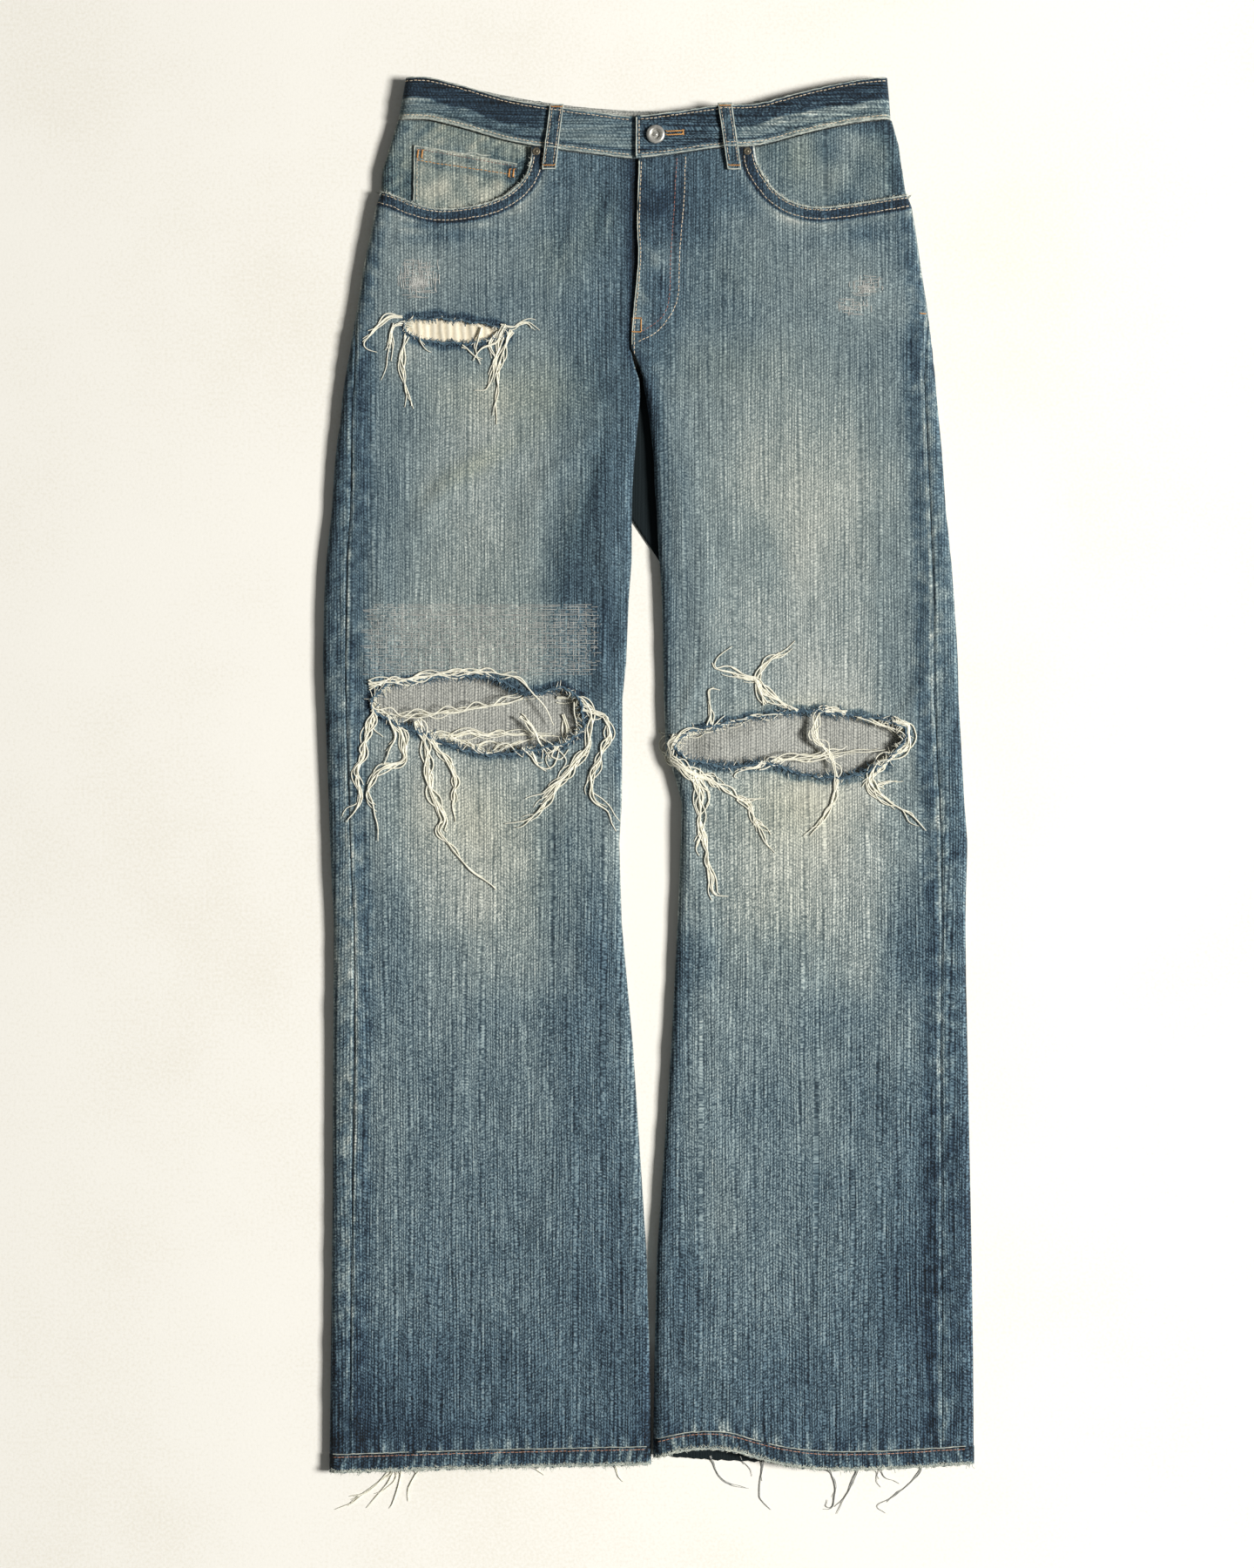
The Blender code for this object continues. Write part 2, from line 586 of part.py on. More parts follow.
def front_height(leg, across, drop):
    """Height of the front's middle line at a place on its flat part."""
    outer_edge = between(leg.outline, drop, "outer")
    width = abs(between(leg.outline, drop, "inner") - outer_edge)
    fold = between(leg.form, drop, "fold")
    inward = abs(across - outer_edge)
    return top_height(leg, drop, (inward - OUTER_FOLD) / (width - fold - OUTER_FOLD)) - DENIM / 2


def nominal_drop(leg, across, drop):
    """The row of the front whose bent line passes through a place near the waist."""
    low, high = WAIST_SEAM - 20, SMOOTH_BY + 200
    for _ in range(30):
        middle = (low + high) / 2
        if front_drop(leg, middle, across) < drop:
            low = middle
        else:
            high = middle
    return low


def patch_rows(leg, left_edge, right_edge, depth, columns=5):
    """Rows of a flat piece under the front, between two edges given as lists of (across, drop)."""
    rows = []
    for (left, left_drop), (right, right_drop) in zip(left_edge, right_edge):
        row = []
        for i in range(columns):
            share = i / (columns - 1)
            across = left + (right - left) * share
            drop = left_drop + (right_drop - left_drop) * share
            height = front_height(leg, across, nominal_drop(leg, across, drop)) - depth
            row.append(to_world(across, drop, height))
        rows.append(row)
    return rows


def coin_pocket(stuff):
    """The small pocket on the right facing, with its open top edge across the mouth."""
    left = [(-188.5, 54.5), (-189, 75), (-189.5, 96), (-190, 117)]
    right = [(-105.5, 69.5), (-108, 84), (-111, 100), (-114, 118)]
    depth = DENIM / 2 + SEAM_GAP + COIN_WALL / 2
    return sheet("coin_pocket", patch_rows(RIGHT_LEG, left, right, depth), COIN_WALL, stuff)


def pocket_bag(stuff):
    """The part of the right pocket's bag that lies behind the thigh rip."""
    left = [(-200, BAG_TOP), (-205, 165), (-208, 200), (-205, 232), (-190, BAG_BOTTOM)]
    right = [(-95, BAG_TOP), (-92, 165), (-92, 200), (-100, 232), (-122, BAG_BOTTOM)]
    depth = DENIM / 2 + SEAM_GAP + BAG_WALL / 2
    rows = patch_rows(RIGHT_LEG, left, right, depth, columns=7)
    return sheet("pocket_bag_right", rows, BAG_WALL, stuff)


def back_pocket(leg, stuff):
    """A five-sided patch under the seat, which lies on the floor."""
    side = leg.outward
    top, shoulder, tip = (128, 138), 244, 262
    inner_x, outer_x, middle_x = 34, 172, 104
    rows = []
    for share in (0.0, 0.5, 0.87, 1.0):
        taper = 8 * min(1.0, share / 0.87)
        row = []
        for step in range(5):
            across = inner_x + taper + (outer_x - inner_x - 2 * taper) * step / 4
            upper = top[0] + (top[1] - top[0]) * (across - inner_x) / (outer_x - inner_x)
            lower = shoulder + (tip - shoulder) * (1 - abs(across - middle_x) / 70)
            row.append(to_world(side * across, upper + (lower - upper) * share, PATCH / 2))
        rows.append(row)
    return sheet("back_pocket_" + leg.name, rows, PATCH, stuff)


# ---------------------------------------------------------------- waistband, loops and fly
BAND_TOP_MIDDLE = 13.7  # height of the front band's middle line away from the button
BAND_FLOOR_MIDDLE = SEAT_LIFT + BAND_WALL / 2
OVERLAP_MIDDLE = 15.0  # height of its overlapping end
OVERLAP_END, UNDERLAP_END = -10.5, 22.0


def band_line(left_edge, right_edge):
    """The waistband's middle line: from the buttoned-under end, round the back, to the top end."""
    half = BAND_WALL / 2
    reach = OUTER_FOLD - half
    centre = (BAND_TOP_MIDDLE + BAND_FLOOR_MIDDLE) / 2
    tall = (BAND_TOP_MIDDLE - BAND_FLOOR_MIDDLE) / 2

    def fold(edge, outward, angles):
        middle = edge - outward * OUTER_FOLD
        return [
            (middle + outward * reach * math.sin(math.radians(a)), centre + tall * math.cos(math.radians(a)))
            for a in angles
        ]

    under = [(UNDERLAP_END, 12.2), (-12, 12.2), (-22, 12.4), (-48, BAND_TOP_MIDDLE)]
    over = [(52, BAND_TOP_MIDDLE), (32, 14.2), (14, OVERLAP_MIDDLE), (OVERLAP_END, OVERLAP_MIDDLE)]
    angles = list(range(0, 181, 20))
    return under + fold(left_edge, -1, angles) + fold(right_edge, 1, angles[::-1]) + over


def waistband(stuff):
    """One strip from the fly round the back to the fly, overlapping at the button."""
    rows = []
    edges = {0.0: (-195.7, 192.0), 0.5: (-198.5, 193.5), 1.0: (-201.5, 195.0)}
    for share, (left_edge, right_edge) in edges.items():
        row = []
        for p in spaced(band_line(left_edge, right_edge), 46):
            on_front = ease((p.y - BAND_FLOOR_MIDDLE) / (12 - BAND_FLOOR_MIDDLE))
            waist = line_drop(BACK_WAIST, p.x) * (1 - on_front) + line_drop(FRONT_WAIST, p.x) * on_front
            row.append(to_world(p.x, waist + share * BAND_HEIGHT, p.y))
        rows.append(row)
    return sheet("waistband", rows, BAND_WALL, stuff)


def front_loop(name, loop, stuff):
    """A belt loop over the front of the band, stepping down onto the front below its seam."""
    rows = []
    for share in (0.0, 0.35, 0.62, 0.8, 1.0):
        across = loop.top_across + (loop.bottom_across - loop.top_across) * share
        drop = loop.top_drop + (loop.bottom_drop - loop.top_drop) * share
        height = BAND_TOP_MIDDLE + BAND_WALL / 2 + SEAM_GAP + LOOP_WALL / 2 + 0.15
        row = []
        for side in (-1, 1):
            row.append(to_world(across + side * LOOP_WIDTH / 2, drop, height - 0.5 * ease((share - 0.62) / 0.3)))
        rows.append(row)
    return sheet(name, rows, LOOP_WALL, stuff)


def back_loop(name, loop, stuff):
    """A belt loop under the back of the band, flat on the floor."""
    rows = []
    for share in (0.0, 0.5, 1.0):
        across = loop.top_across + (loop.bottom_across - loop.top_across) * share
        drop = loop.top_drop + (loop.bottom_drop - loop.top_drop) * share
        rows.append([to_world(across + side * LOOP_WIDTH / 2, drop, PATCH / 2) for side in (-1, 1)])
    return sheet(name, rows, PATCH, stuff)


def fly_underlap(stuff):
    """The strip behind the fly, sewn to the right front and reaching under the left one."""
    rows = []
    for share in (0.0, 0.25, 0.5, 0.75, 1.0):
        row = []
        for across in (UNDERLAP_LEFT, -12.0, 6.0, UNDERLAP_RIGHT):
            upper = line_drop(FRONT_WAIST, across) + BAND_HEIGHT + EDGE_GAP
            drop = upper + (UNDERLAP_BOTTOM - upper) * share
            edge_height = top_height(RIGHT_LEG, nominal_drop(RIGHT_LEG, -12, drop), 1)
            height = edge_height - DENIM - SEAM_GAP - LINING / 2 - 0.1
            row.append(to_world(across, drop, height))
        rows.append(row)
    return sheet("fly_underlap", rows, LINING, stuff)


def button(stuff):
    """A tack button with a raised rim and a sunk middle, on the overlapping end of the band."""
    base = OVERLAP_MIDDLE + BAND_WALL / 2 + SEAM_GAP
    r = BUTTON_RADIUS
    profile = [
        (0, 0), (r - 1.6, 0), (r - 0.3, 0.7), (r, 1.4), (r - 0.3, 2.1), (r - 1.4, 2.7),
        (r - 3.4, 2.8), (r - 4.4, 2.1), (r - 4.8, 1.3), (r - 5.4, 1.2), (r - 6.2, 1.6), (0, 2.2),
    ]
    return turned("button", profile, 24, to_world(*BUTTON_AT, base), stuff)


def rivet(name, place, leg, stuff):
    """A burr rivet at the inner end of a pocket mouth."""
    across, drop = place
    surface = front_height(leg, across, nominal_drop(leg, across, drop)) + DENIM / 2
    r = RIVET_RADIUS
    profile = [(0, 0), (r, 0), (r, 0.5), (r - 0.7, 1.0), (r - 1.6, 0.9), (r - 2.2, 1.4), (0, 1.6)]
    return turned(name, profile, 14, to_world(across, drop, surface + SEAM_GAP), stuff)


# ---------------------------------------------------------------- the garment
def mouth_cutter(name, mouth, leg):
    """The area above a pocket mouth, out past the side seam and up past the waist seam."""
    far, up = leg.outward * 240, 20
    outline = list(mouth) + [Point(far, mouth[-1].drop), Point(far, up), Point(mouth[0].across, up)]
    return cutter(name, outline, low=-5.0)


def build():
    clear_scene()
    blue = material("denim", DENIM_BLUE)
    dark = material("denim_dark", DENIM_DARK)
    faded = material("denim_faded", FADED_BLUE)
    cream = material("pocket_cotton", CREAM)
    steel = material("button_metal", STEEL, 0.35, 1.0)
    copper = material("rivet_metal", COPPER, 0.45, 1.0)

    right_cuts = [
        mouth_cutter("cut_mouth_right", RIGHT_MOUTH, RIGHT_LEG),
        cutter("cut_thigh_rip", THIGH_RIP),
        cutter("cut_knee_rip_right", RIGHT_KNEE_RIP),
    ]
    left_cuts = [
        mouth_cutter("cut_mouth_left", LEFT_MOUTH, LEFT_LEG),
        cutter("cut_knee_rip_left", LEFT_KNEE_RIP),
    ]
    front_panel(RIGHT_LEG, blue, right_cuts)
    front_panel(LEFT_LEG, blue, left_cuts)
    coin_depth = DENIM / 2 + SEAM_GAP + COIN_WALL + SEAM_GAP + LINING / 2
    plain_depth = DENIM / 2 + EDGE_GAP + LINING / 2 + 0.2
    facing(RIGHT_LEG, faded, coin_depth)
    facing(LEFT_LEG, faded, plain_depth)
    coin_pocket(faded)
    pocket_bag(cream)
    for leg in (RIGHT_LEG, LEFT_LEG):
        back_panel(leg, blue)
        yoke(leg, dark)
        hem(leg, dark)
        back_pocket(leg, blue)
    waistband(dark)
    fly_underlap(dark)
    for name, loop in FRONT_LOOPS.items():
        front_loop(name, loop, dark)
    for name, loop in BACK_LOOPS.items():
        back_loop(name, loop, dark)
    button(steel)
    for name, leg in (("rivet_right", RIGHT_LEG), ("rivet_left", LEFT_LEG)):
        rivet(name, RIVETS[name], leg, copper)


build()
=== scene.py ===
import math
import random

import bmesh
import bpy
import numpy as np
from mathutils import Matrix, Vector
from mathutils.bvhtree import BVHTree


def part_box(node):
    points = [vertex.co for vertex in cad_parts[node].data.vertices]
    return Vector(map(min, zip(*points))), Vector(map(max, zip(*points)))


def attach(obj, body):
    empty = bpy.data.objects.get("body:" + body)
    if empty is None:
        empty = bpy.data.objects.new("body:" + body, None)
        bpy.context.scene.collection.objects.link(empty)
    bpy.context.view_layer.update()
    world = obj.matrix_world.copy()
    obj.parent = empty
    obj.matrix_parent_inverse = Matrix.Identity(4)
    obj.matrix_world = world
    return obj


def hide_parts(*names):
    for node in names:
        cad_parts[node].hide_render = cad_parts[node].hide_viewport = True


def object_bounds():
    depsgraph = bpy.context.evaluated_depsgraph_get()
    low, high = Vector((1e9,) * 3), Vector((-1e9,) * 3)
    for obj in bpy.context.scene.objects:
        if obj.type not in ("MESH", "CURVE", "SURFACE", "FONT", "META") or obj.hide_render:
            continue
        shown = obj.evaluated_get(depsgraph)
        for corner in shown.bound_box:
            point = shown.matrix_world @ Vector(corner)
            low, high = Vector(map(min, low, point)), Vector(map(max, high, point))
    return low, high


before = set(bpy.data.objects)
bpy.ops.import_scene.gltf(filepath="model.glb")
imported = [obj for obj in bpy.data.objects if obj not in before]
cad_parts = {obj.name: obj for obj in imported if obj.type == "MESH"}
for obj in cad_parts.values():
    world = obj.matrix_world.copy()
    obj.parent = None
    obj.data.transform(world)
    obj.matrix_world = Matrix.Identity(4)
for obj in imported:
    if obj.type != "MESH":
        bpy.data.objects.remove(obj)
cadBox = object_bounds()
mm = 0.001
topEdge = round(cadBox[1].y, 3)  # y of the waistband's highest point, where drops start
rng = random.Random(17)
print("jeans: frame loaded")

# Every size below is in millimetres. "across" is the distance from the fly line, to the
# wearer's left, and "drop" is the distance down from the top of the waistband at its side.
cloth = {
    "denim": 1.4, "band": 2.0, "hem": 2.3, "patch": 1.2, "lining": 1.0, "coin": 0.9,
    "seamGap": 0.35, "edgeGap": 0.8, "outerFold": 9.0, "edgeRun": 8.0,
    "bandHeight": 34.0, "hemDepth": 14.0, "lastDrop": 1107.0, "seatLift": 1.55, "fullness": 0.8,
}


# the legs' shape, as in the part's own tables
rightLeg = {
    "name": "Right", "outward": -1,
    # drop, outer edge, inner edge, how far the outseam lies in from the outer edge
    "outline": [
        (34, -201.5, -9.0, 0.0), (55, -208.0, -9.0, 0.0), (75, -214.0, -9.0, 0.0),
        (92, -214.5, -9.5, 0.0), (104, -219.0, -10.0, 0.0), (122, -222.5, -9.5, 0.0),
        (150, -228.5, -9.5, 0.0), (185, -234.0, -12.5, 0.0), (201, -237.0, -14.0, 2.0),
        (218, -239.5, -14.5, 4.7), (242, -244.0, -7.0, 8.0), (258, -246.0, -7.0, 8.5),
        (275, -247.5, -8.5, 9.5), (302, -251.5, -11.0, 13.0), (330, -253.5, -13.0, 14.7),
        (350, -255.0, -13.5, 15.5), (388, -259.0, -13.5, 17.0), (420, -261.0, -16.0, 18.5),
        (470, -262.0, -18.0, 18.5), (499, -260.5, -21.0, 17.5), (583, -257.0, -21.5, 16.5),
        (615, -256.0, -23.5, 16.5), (681, -253.0, -21.5, 16.5), (779, -253.5, -12.5, 17.5),
        (947, -254.5, -1.5, 16.0), (1030, -255.5, 1.0, 16.0), (1107, -256.5, 2.0, 16.5),
    ],
    # drop, height at outer fold, middle and inner fold, curl of front and back, fold, flat
    # back edge, lift off the floor
    "form": [
        (34, 13.8, 14.2, 13.0, 0, 0, 0.0, -0.2, 1.55), (185, 13.2, 12.8, 11.9, 0, 0, 0.0, -4.0, 1.55),
        (218, 12.8, 12.3, 11.5, 0, 0, 0.0, -5.5, 1.55), (242, 12.5, 11.8, 11.2, 45, 0, 3.5, -7.5, 1.55),
        (258, 12.3, 11.4, 11.2, 115, 0, 6.0, -9.0, 1.55), (275, 12.0, 11.1, 11.2, 150, 0, 8.0, -11.0, 1.35),
        (302, 11.7, 10.6, 11.2, 150, 0, 8.0, -13.8, 0.7), (330, 11.5, 10.2, 11.0, 150, 0, 8.0, -16.3, 0.0),
        (350, 11.5, 9.8, 11.0, 150, 0, 8.0, -17.3, 0.0), (364, 11.5, 9.7, 11.0, 84, 0, 8.0, -20.5, 0.0),
        (388, 11.5, 9.6, 11.0, 84, 84, 8.0, -20.5, 0.0), (583, 11.5, 9.6, 10.5, 84, 84, 8.0, -20.5, 0.0),
        (779, 11.0, 9.4, 10.5, 84, 84, 8.0, -20.5, 0.0), (1107, 10.5, 9.4, 10.5, 84, 84, 8.0, -20.5, 0.0),
    ],
    "hemFront": [(-257, 1122), (-134, 1118.5), (2, 1115.5)],
    "hemBack": [(-257, 1122), (-134, 1119), (2, 1115.5)],
}
leftLeg = {
    "name": "Left", "outward": 1,
    "outline": [
        (34, 195.0, -8.5, 0.0), (55, 201.0, -8.5, 0.0), (75, 203.5, -8.5, 0.0),
        (92, 206.0, -9.0, 0.0), (104, 211.0, -9.5, 0.0), (122, 214.0, -9.0, 0.0),
        (150, 218.0, -9.0, 0.0), (185, 223.5, -12.0, 0.0), (201, 225.5, -13.5, 2.5),
        (218, 227.5, -14.0, 6.0), (242, 230.0, -5.5, 9.5), (258, 231.5, -2.0, 10.5),
        (275, 233.0, 0.5, 11.0), (302, 235.5, 3.5, 12.0), (330, 237.5, 5.0, 13.0),
        (350, 239.0, 6.5, 13.5), (388, 243.0, 8.5, 16.0), (420, 245.5, 10.5, 17.5),
        (470, 248.5, 11.5, 20.5), (499, 249.0, 12.0, 20.5), (541, 251.5, 13.5, 21.0),
        (562, 252.5, 21.0, 21.0), (583, 253.5, 26.5, 21.0), (615, 256.0, 25.5, 22.0),
        (681, 254.5, 23.0, 19.5), (779, 256.0, 18.0, 22.3), (947, 259.5, 6.5, 24.5),
        (1030, 261.0, 4.5, 26.0), (1107, 261.5, 3.5, 26.5),
    ],
    "form": [
        (34, 13.8, 14.2, 14.6, 0, 0, 0.0, 0.2, 1.55), (185, 13.2, 12.8, 13.4, 0, 0, 0.0, -3.6, 1.55),
        (218, 12.8, 12.3, 12.5, 0, 0, 0.0, -5.1, 1.55), (242, 12.5, 11.8, 11.8, 45, 0, 3.5, -7.1, 1.55),
        (258, 12.3, 11.4, 11.3, 115, 0, 6.0, -8.6, 1.55), (275, 12.0, 11.1, 11.2, 150, 0, 8.0, -10.6, 1.35),
        (302, 11.7, 10.6, 11.2, 150, 0, 8.0, -13.4, 0.7), (330, 11.5, 10.2, 11.0, 160, 0, 8.0, -15.9, 0.0),
        (350, 11.5, 9.8, 11.0, 160, 0, 8.0, -16.9, 0.0), (388, 11.5, 9.6, 11.0, 160, 0, 8.0, 8.5, 0.0),
        (402, 11.5, 9.6, 11.0, 84, 0, 8.0, 16.5, 0.0), (424, 11.5, 9.6, 11.0, 84, 84, 8.0, 17.5, 0.0),
        (779, 11.5, 9.6, 11.0, 84, 84, 8.0, 17.5, 0.0), (1030, 10.5, 10.4, 12.0, 84, 84, 8.5, 17.5, 0.0),
        (1107, 10.5, 12.6, 14.5, 84, 84, 9.5, 17.5, 0.0),
    ],
    "hemFront": [(3.5, 1109.5), (27, 1104), (49, 1102.5), (66, 1104), (87, 1110), (113, 1116),
                 (142, 1119), (178, 1119), (261, 1115)],
    "hemBack": [(3.5, 1109.5), (50, 1113), (95, 1115), (142, 1118), (261, 1115)],
}
legs = (rightLeg, leftLeg)
frontWaist = [(-196, 0), (-178, 0.5), (-158, 5), (-111, 18), (-68, 25), (-40, 28.5), (-11, 31.5), (18, 28.5),
              (56, 23), (89, 21), (116, 14), (138, 8.5), (169, 2.5), (190, 0)]
backWaist = [(-196, 0), (-175, 1), (-140, 8), (-90, 17.5), (-40, 23.5), (0, 25.5), (40, 23.5), (90, 17.5),
             (140, 7.5), (175, 1), (190, 0)]


def ease(share):
    share = np.clip(share, 0.0, 1.0)
    return share * share * (3 - 2 * share)


def hump(value, middle, width):
    # 1 at the middle, and next to nothing two widths away from it
    return np.exp(-((value - middle) / width) ** 2)


def blob(a, b, halfA, halfB):
    return np.exp(-(a / halfA) ** 2 - (b / halfB) ** 2)


def turnedBy(degrees):
    # the cosine and sine of a turn
    return math.cos(math.radians(degrees)), math.sin(math.radians(degrees))


def stacked(rows):
    # rows of (across, drop, ...) as one array for each of them
    return [np.array(values) for values in zip(*rows)]


def smoothLine(line, at):
    # a smooth line through given points (across, drop)
    xs, ys = (np.array(column, float) for column in zip(*line))
    slopes = np.gradient(ys, xs)
    at = np.asarray(at, float)
    i = np.clip(np.searchsorted(xs, at) - 1, 0, len(xs) - 2)
    width = xs[i + 1] - xs[i]
    t = np.clip((at - xs[i]) / width, 0, 1)
    return ((1 + 2 * t) * (1 - t) ** 2 * ys[i] + t * (1 - t) ** 2 * width * slopes[i]
            + t * t * (3 - 2 * t) * ys[i + 1] + t * t * (t - 1) * width * slopes[i + 1])


def column(table, drop, index):
    rows = np.array(table, float)
    return float(np.interp(drop, rows[:, 0], rows[:, index]))


def wobble(across, drop, size, seed):
    # gentle irregularity, about -1 to 1, with bumps of the given size
    draw = random.Random(seed)
    total = 0.0
    for _ in range(7):
        turn, wave = draw.uniform(0, math.pi), math.tau / (size * draw.uniform(0.8, 2.2))
        along = across * math.cos(turn) + drop * math.sin(turn)
        total = total + np.sin(wave * along + draw.uniform(0, 6.3))
    return total / 3.5


def bowed(high0, high1, high2, share):
    # height across a leg, from its outer fold over the middle to its inner one
    first = high0 + (high1 - high0) * ease(2 * share)
    return np.where(share < 0.5, first, high1 + (high2 - high1) * ease(2 * share - 1))


def crossSection(leg, drop, wall, rise=0.0, inset=0.0):
    # the front over the top and the back underneath, both from the outermost point of the fold
    outer = column(leg["outline"], drop, 1) + leg["outward"] * cloth["fullness"]
    width = abs(column(leg["outline"], drop, 2) - outer)
    high0, high1, high2, curlFront, curlBack, fold, backEdge, lift = (
        column(leg["form"], drop, i) for i in range(1, 9))
    low = lift + wall / 2 + inset
    under = rise - wall / 2 - inset
    outerFold, edgeRun = cloth["outerFold"], cloth["edgeRun"]

    def top(share):
        return bowed(high0, high1, high2, share) + under

    def arc(depth, high, inward, angles, side, bottom=low):
        reach = max(depth - wall / 2 - inset, 0.2)
        angles = np.radians(angles)
        return np.stack([inward + side * reach * np.sin(angles),
                         (high + bottom) / 2 + (high - bottom) / 2 * np.cos(angles)])

    def outward(line):
        return np.stack([outer - leg["outward"] * line[0], line[1]])

    steps = np.arange(0, 91, 6)
    high = float(top(np.array(0.0)))
    end = width - max(fold, edgeRun)
    share = np.linspace(0, 1, 41)[1:]
    flat = np.stack([outerFold + (end - outerFold) * share, top(share)])
    front = outward(np.hstack([arc(outerFold, high, outerFold, 90 - steps, -1), flat]))
    back = outward(arc(outerFold, high, outerFold, 90 + steps, -1))
    high = float(top(np.array(1.0)))
    turns = np.linspace(0, 1, 17)
    restsOnBack = float(ease((curlFront - 90) / 40))
    if curlFront > 0:
        bottom = low + restsOnBack * (wall + cloth["seamGap"])
        frontEdge = outward(arc(fold, high, width - fold, curlFront * turns, 1, bottom))
    else:
        frontEdge = outward(np.stack([end + (width - end) * turns, np.full(17, high)]))
    if curlBack > 0:
        backRun = outward(arc(fold, high, width - fold, 180 - curlBack * turns, 1))
    else:
        backRun = np.stack([backEdge + leg["outward"] * edgeRun * (1 - turns), np.full(17, low)])
    return front, frontEdge, back, backRun


def lengths(line):
    return np.concatenate([[0.0], np.cumsum(np.hypot(*np.diff(line, axis=1)))])


def alongLine(line, marks):
    run = lengths(line)
    return np.interp(marks, run, line[0]), np.interp(marks, run, line[1])


def seamLength(leg, drop, front):
    inward = np.abs(front[0] - column(leg["outline"], drop, 1) - leg["outward"] * cloth["fullness"])
    return float(np.interp(column(leg["outline"], drop, 3), inward, lengths(front)))


# the drops between which the panels bend to the band's edge, the yokes' seam and the hem
bends = {"bandTo": 150.0, "yokeSeam": 72.0, "yokeTo": 210.0, "hemFrom": 1000.0}
yokeLook = {"point": 118.0, "rise": 46.0, "reach": 190.0, "rows": 20, "columns": 80}


def bendToHem(hem, nominal, across):
    last = cloth["lastDrop"]
    share = float(ease((nominal - bends["hemFrom"]) / (last - bends["hemFrom"])))
    return share * (smoothLine(hem, across) - cloth["hemDepth"] - 0.3 - last)


def frontDrop(leg, nominal, across):
    share = max(0.0, (bends["bandTo"] - nominal) / (bends["bandTo"] - cloth["bandHeight"]))
    return nominal + share * smoothLine(frontWaist, across) + bendToHem(leg["hemFront"], nominal, across)


def yokeDrop(across):
    return yokeLook["point"] - yokeLook["rise"] * np.minimum(1.0, np.abs(across) / yokeLook["reach"])


def backDrop(leg, nominal, across):
    seam = bends["yokeSeam"]
    share = max(0.0, (bends["yokeTo"] - nominal) / (bends["yokeTo"] - seam))
    return nominal + share * (yokeDrop(across) - seam) + bendToHem(leg["hemBack"], nominal, across)


# soft folds: across, drop, half length, half width, turn from upright (degrees), height
folds = {
    "Right": [
        (-36, 262, 26, 7, 62, 1.1), (-48, 292, 40, 8, 48, 1.2), (-40, 330, 46, 7, 14, 1.3),
        (-62, 372, 60, 9, 8, 1.5), (-34, 392, 46, 7, 4, 1.2), (-92, 350, 50, 12, 22, 0.8),
        (-150, 318, 46, 9, 42, 0.8), (-178, 346, 40, 8, 40, 0.7), (-215, 420, 60, 8, -6, 1.0),
        (-226, 470, 34, 6, -24, 1.2), (-214, 556, 30, 6, 18, 1.0), (-44, 560, 44, 8, 10, 1.1),
        (-66, 600, 50, 9, 14, 0.9), (-38, 470, 40, 7, -8, 1.1), (-210, 640, 70, 10, -4, 0.8),
        (-52, 700, 80, 10, 6, 0.8), (-150, 800, 90, 16, 12, 0.6), (-70, 900, 90, 14, 20, 0.7),
        (-190, 960, 80, 14, -14, 0.6), (-110, 1040, 60, 12, 30, 0.6), (-120, 560, 34, 8, 70, 0.7),
        (-28, 215, 30, 6, 30, 0.7), (-160, 128, 30, 8, 70, 0.5), (-60, 118, 30, 8, 20, 0.6),
    ],
    "Left": [
        (14, 262, 24, 6, -58, 1.0), (26, 296, 40, 8, -40, 1.0), (24, 350, 50, 7, -6, 1.2),
        (44, 410, 60, 9, -6, 1.0), (34, 500, 36, 6, 26, 1.3), (40, 572, 30, 6, -30, 1.2),
        (32, 600, 40, 6, -8, 1.3), (70, 590, 30, 7, -48, 0.8), (214, 500, 36, 7, 20, 1.0),
        (222, 560, 36, 7, -16, 1.1), (190, 600, 40, 9, -30, 0.8), (226, 430, 60, 8, 4, 0.8),
        (44, 700, 80, 9, -8, 0.9), (120, 760, 70, 14, -14, 0.6), (200, 820, 90, 14, 8, 0.7),
        (60, 880, 80, 12, -20, 0.8), (150, 960, 70, 14, 16, 0.6), (60, 1050, 50, 10, -30, 0.9),
        (96, 1074, 34, 8, -44, 0.8), (200, 1050, 60, 12, 12, 0.6), (150, 130, 34, 8, -70, 0.5),
        (60, 128, 34, 8, -14, 0.5), (190, 170, 30, 8, 50, 0.7), (120, 600, 40, 10, 66, 0.6),
    ],
}


def seamRelief(across, drop, fromSeam):
    # the outseam puckers where its yarns have shrunk, over the felled layers in front of it
    pucker = hump(fromSeam, 0, 7) * (0.5 + 0.8 * wobble(across * 0.4, drop, 9, 31))
    return (pucker + 0.5 * hump(fromSeam, 5, 4)) * ease((drop - 190) / 12)


def foldHeight(side, across, drop):
    total = 0.32 * wobble(across, drop, 46, 5) + 0.2 * wobble(across, drop, 19, 6)
    for x, d, halfLength, halfWidth, turn, height in folds[side]:
        c, s = turnedBy(turn)
        along, over = (drop - d) * c - (across - x) * s, (across - x) * c + (drop - d) * s
        over = over + 2.0 * np.sin(along / 17.0 + x)
        total = total + 1.5 * height * blob(along, over, halfLength, halfWidth)
    return total
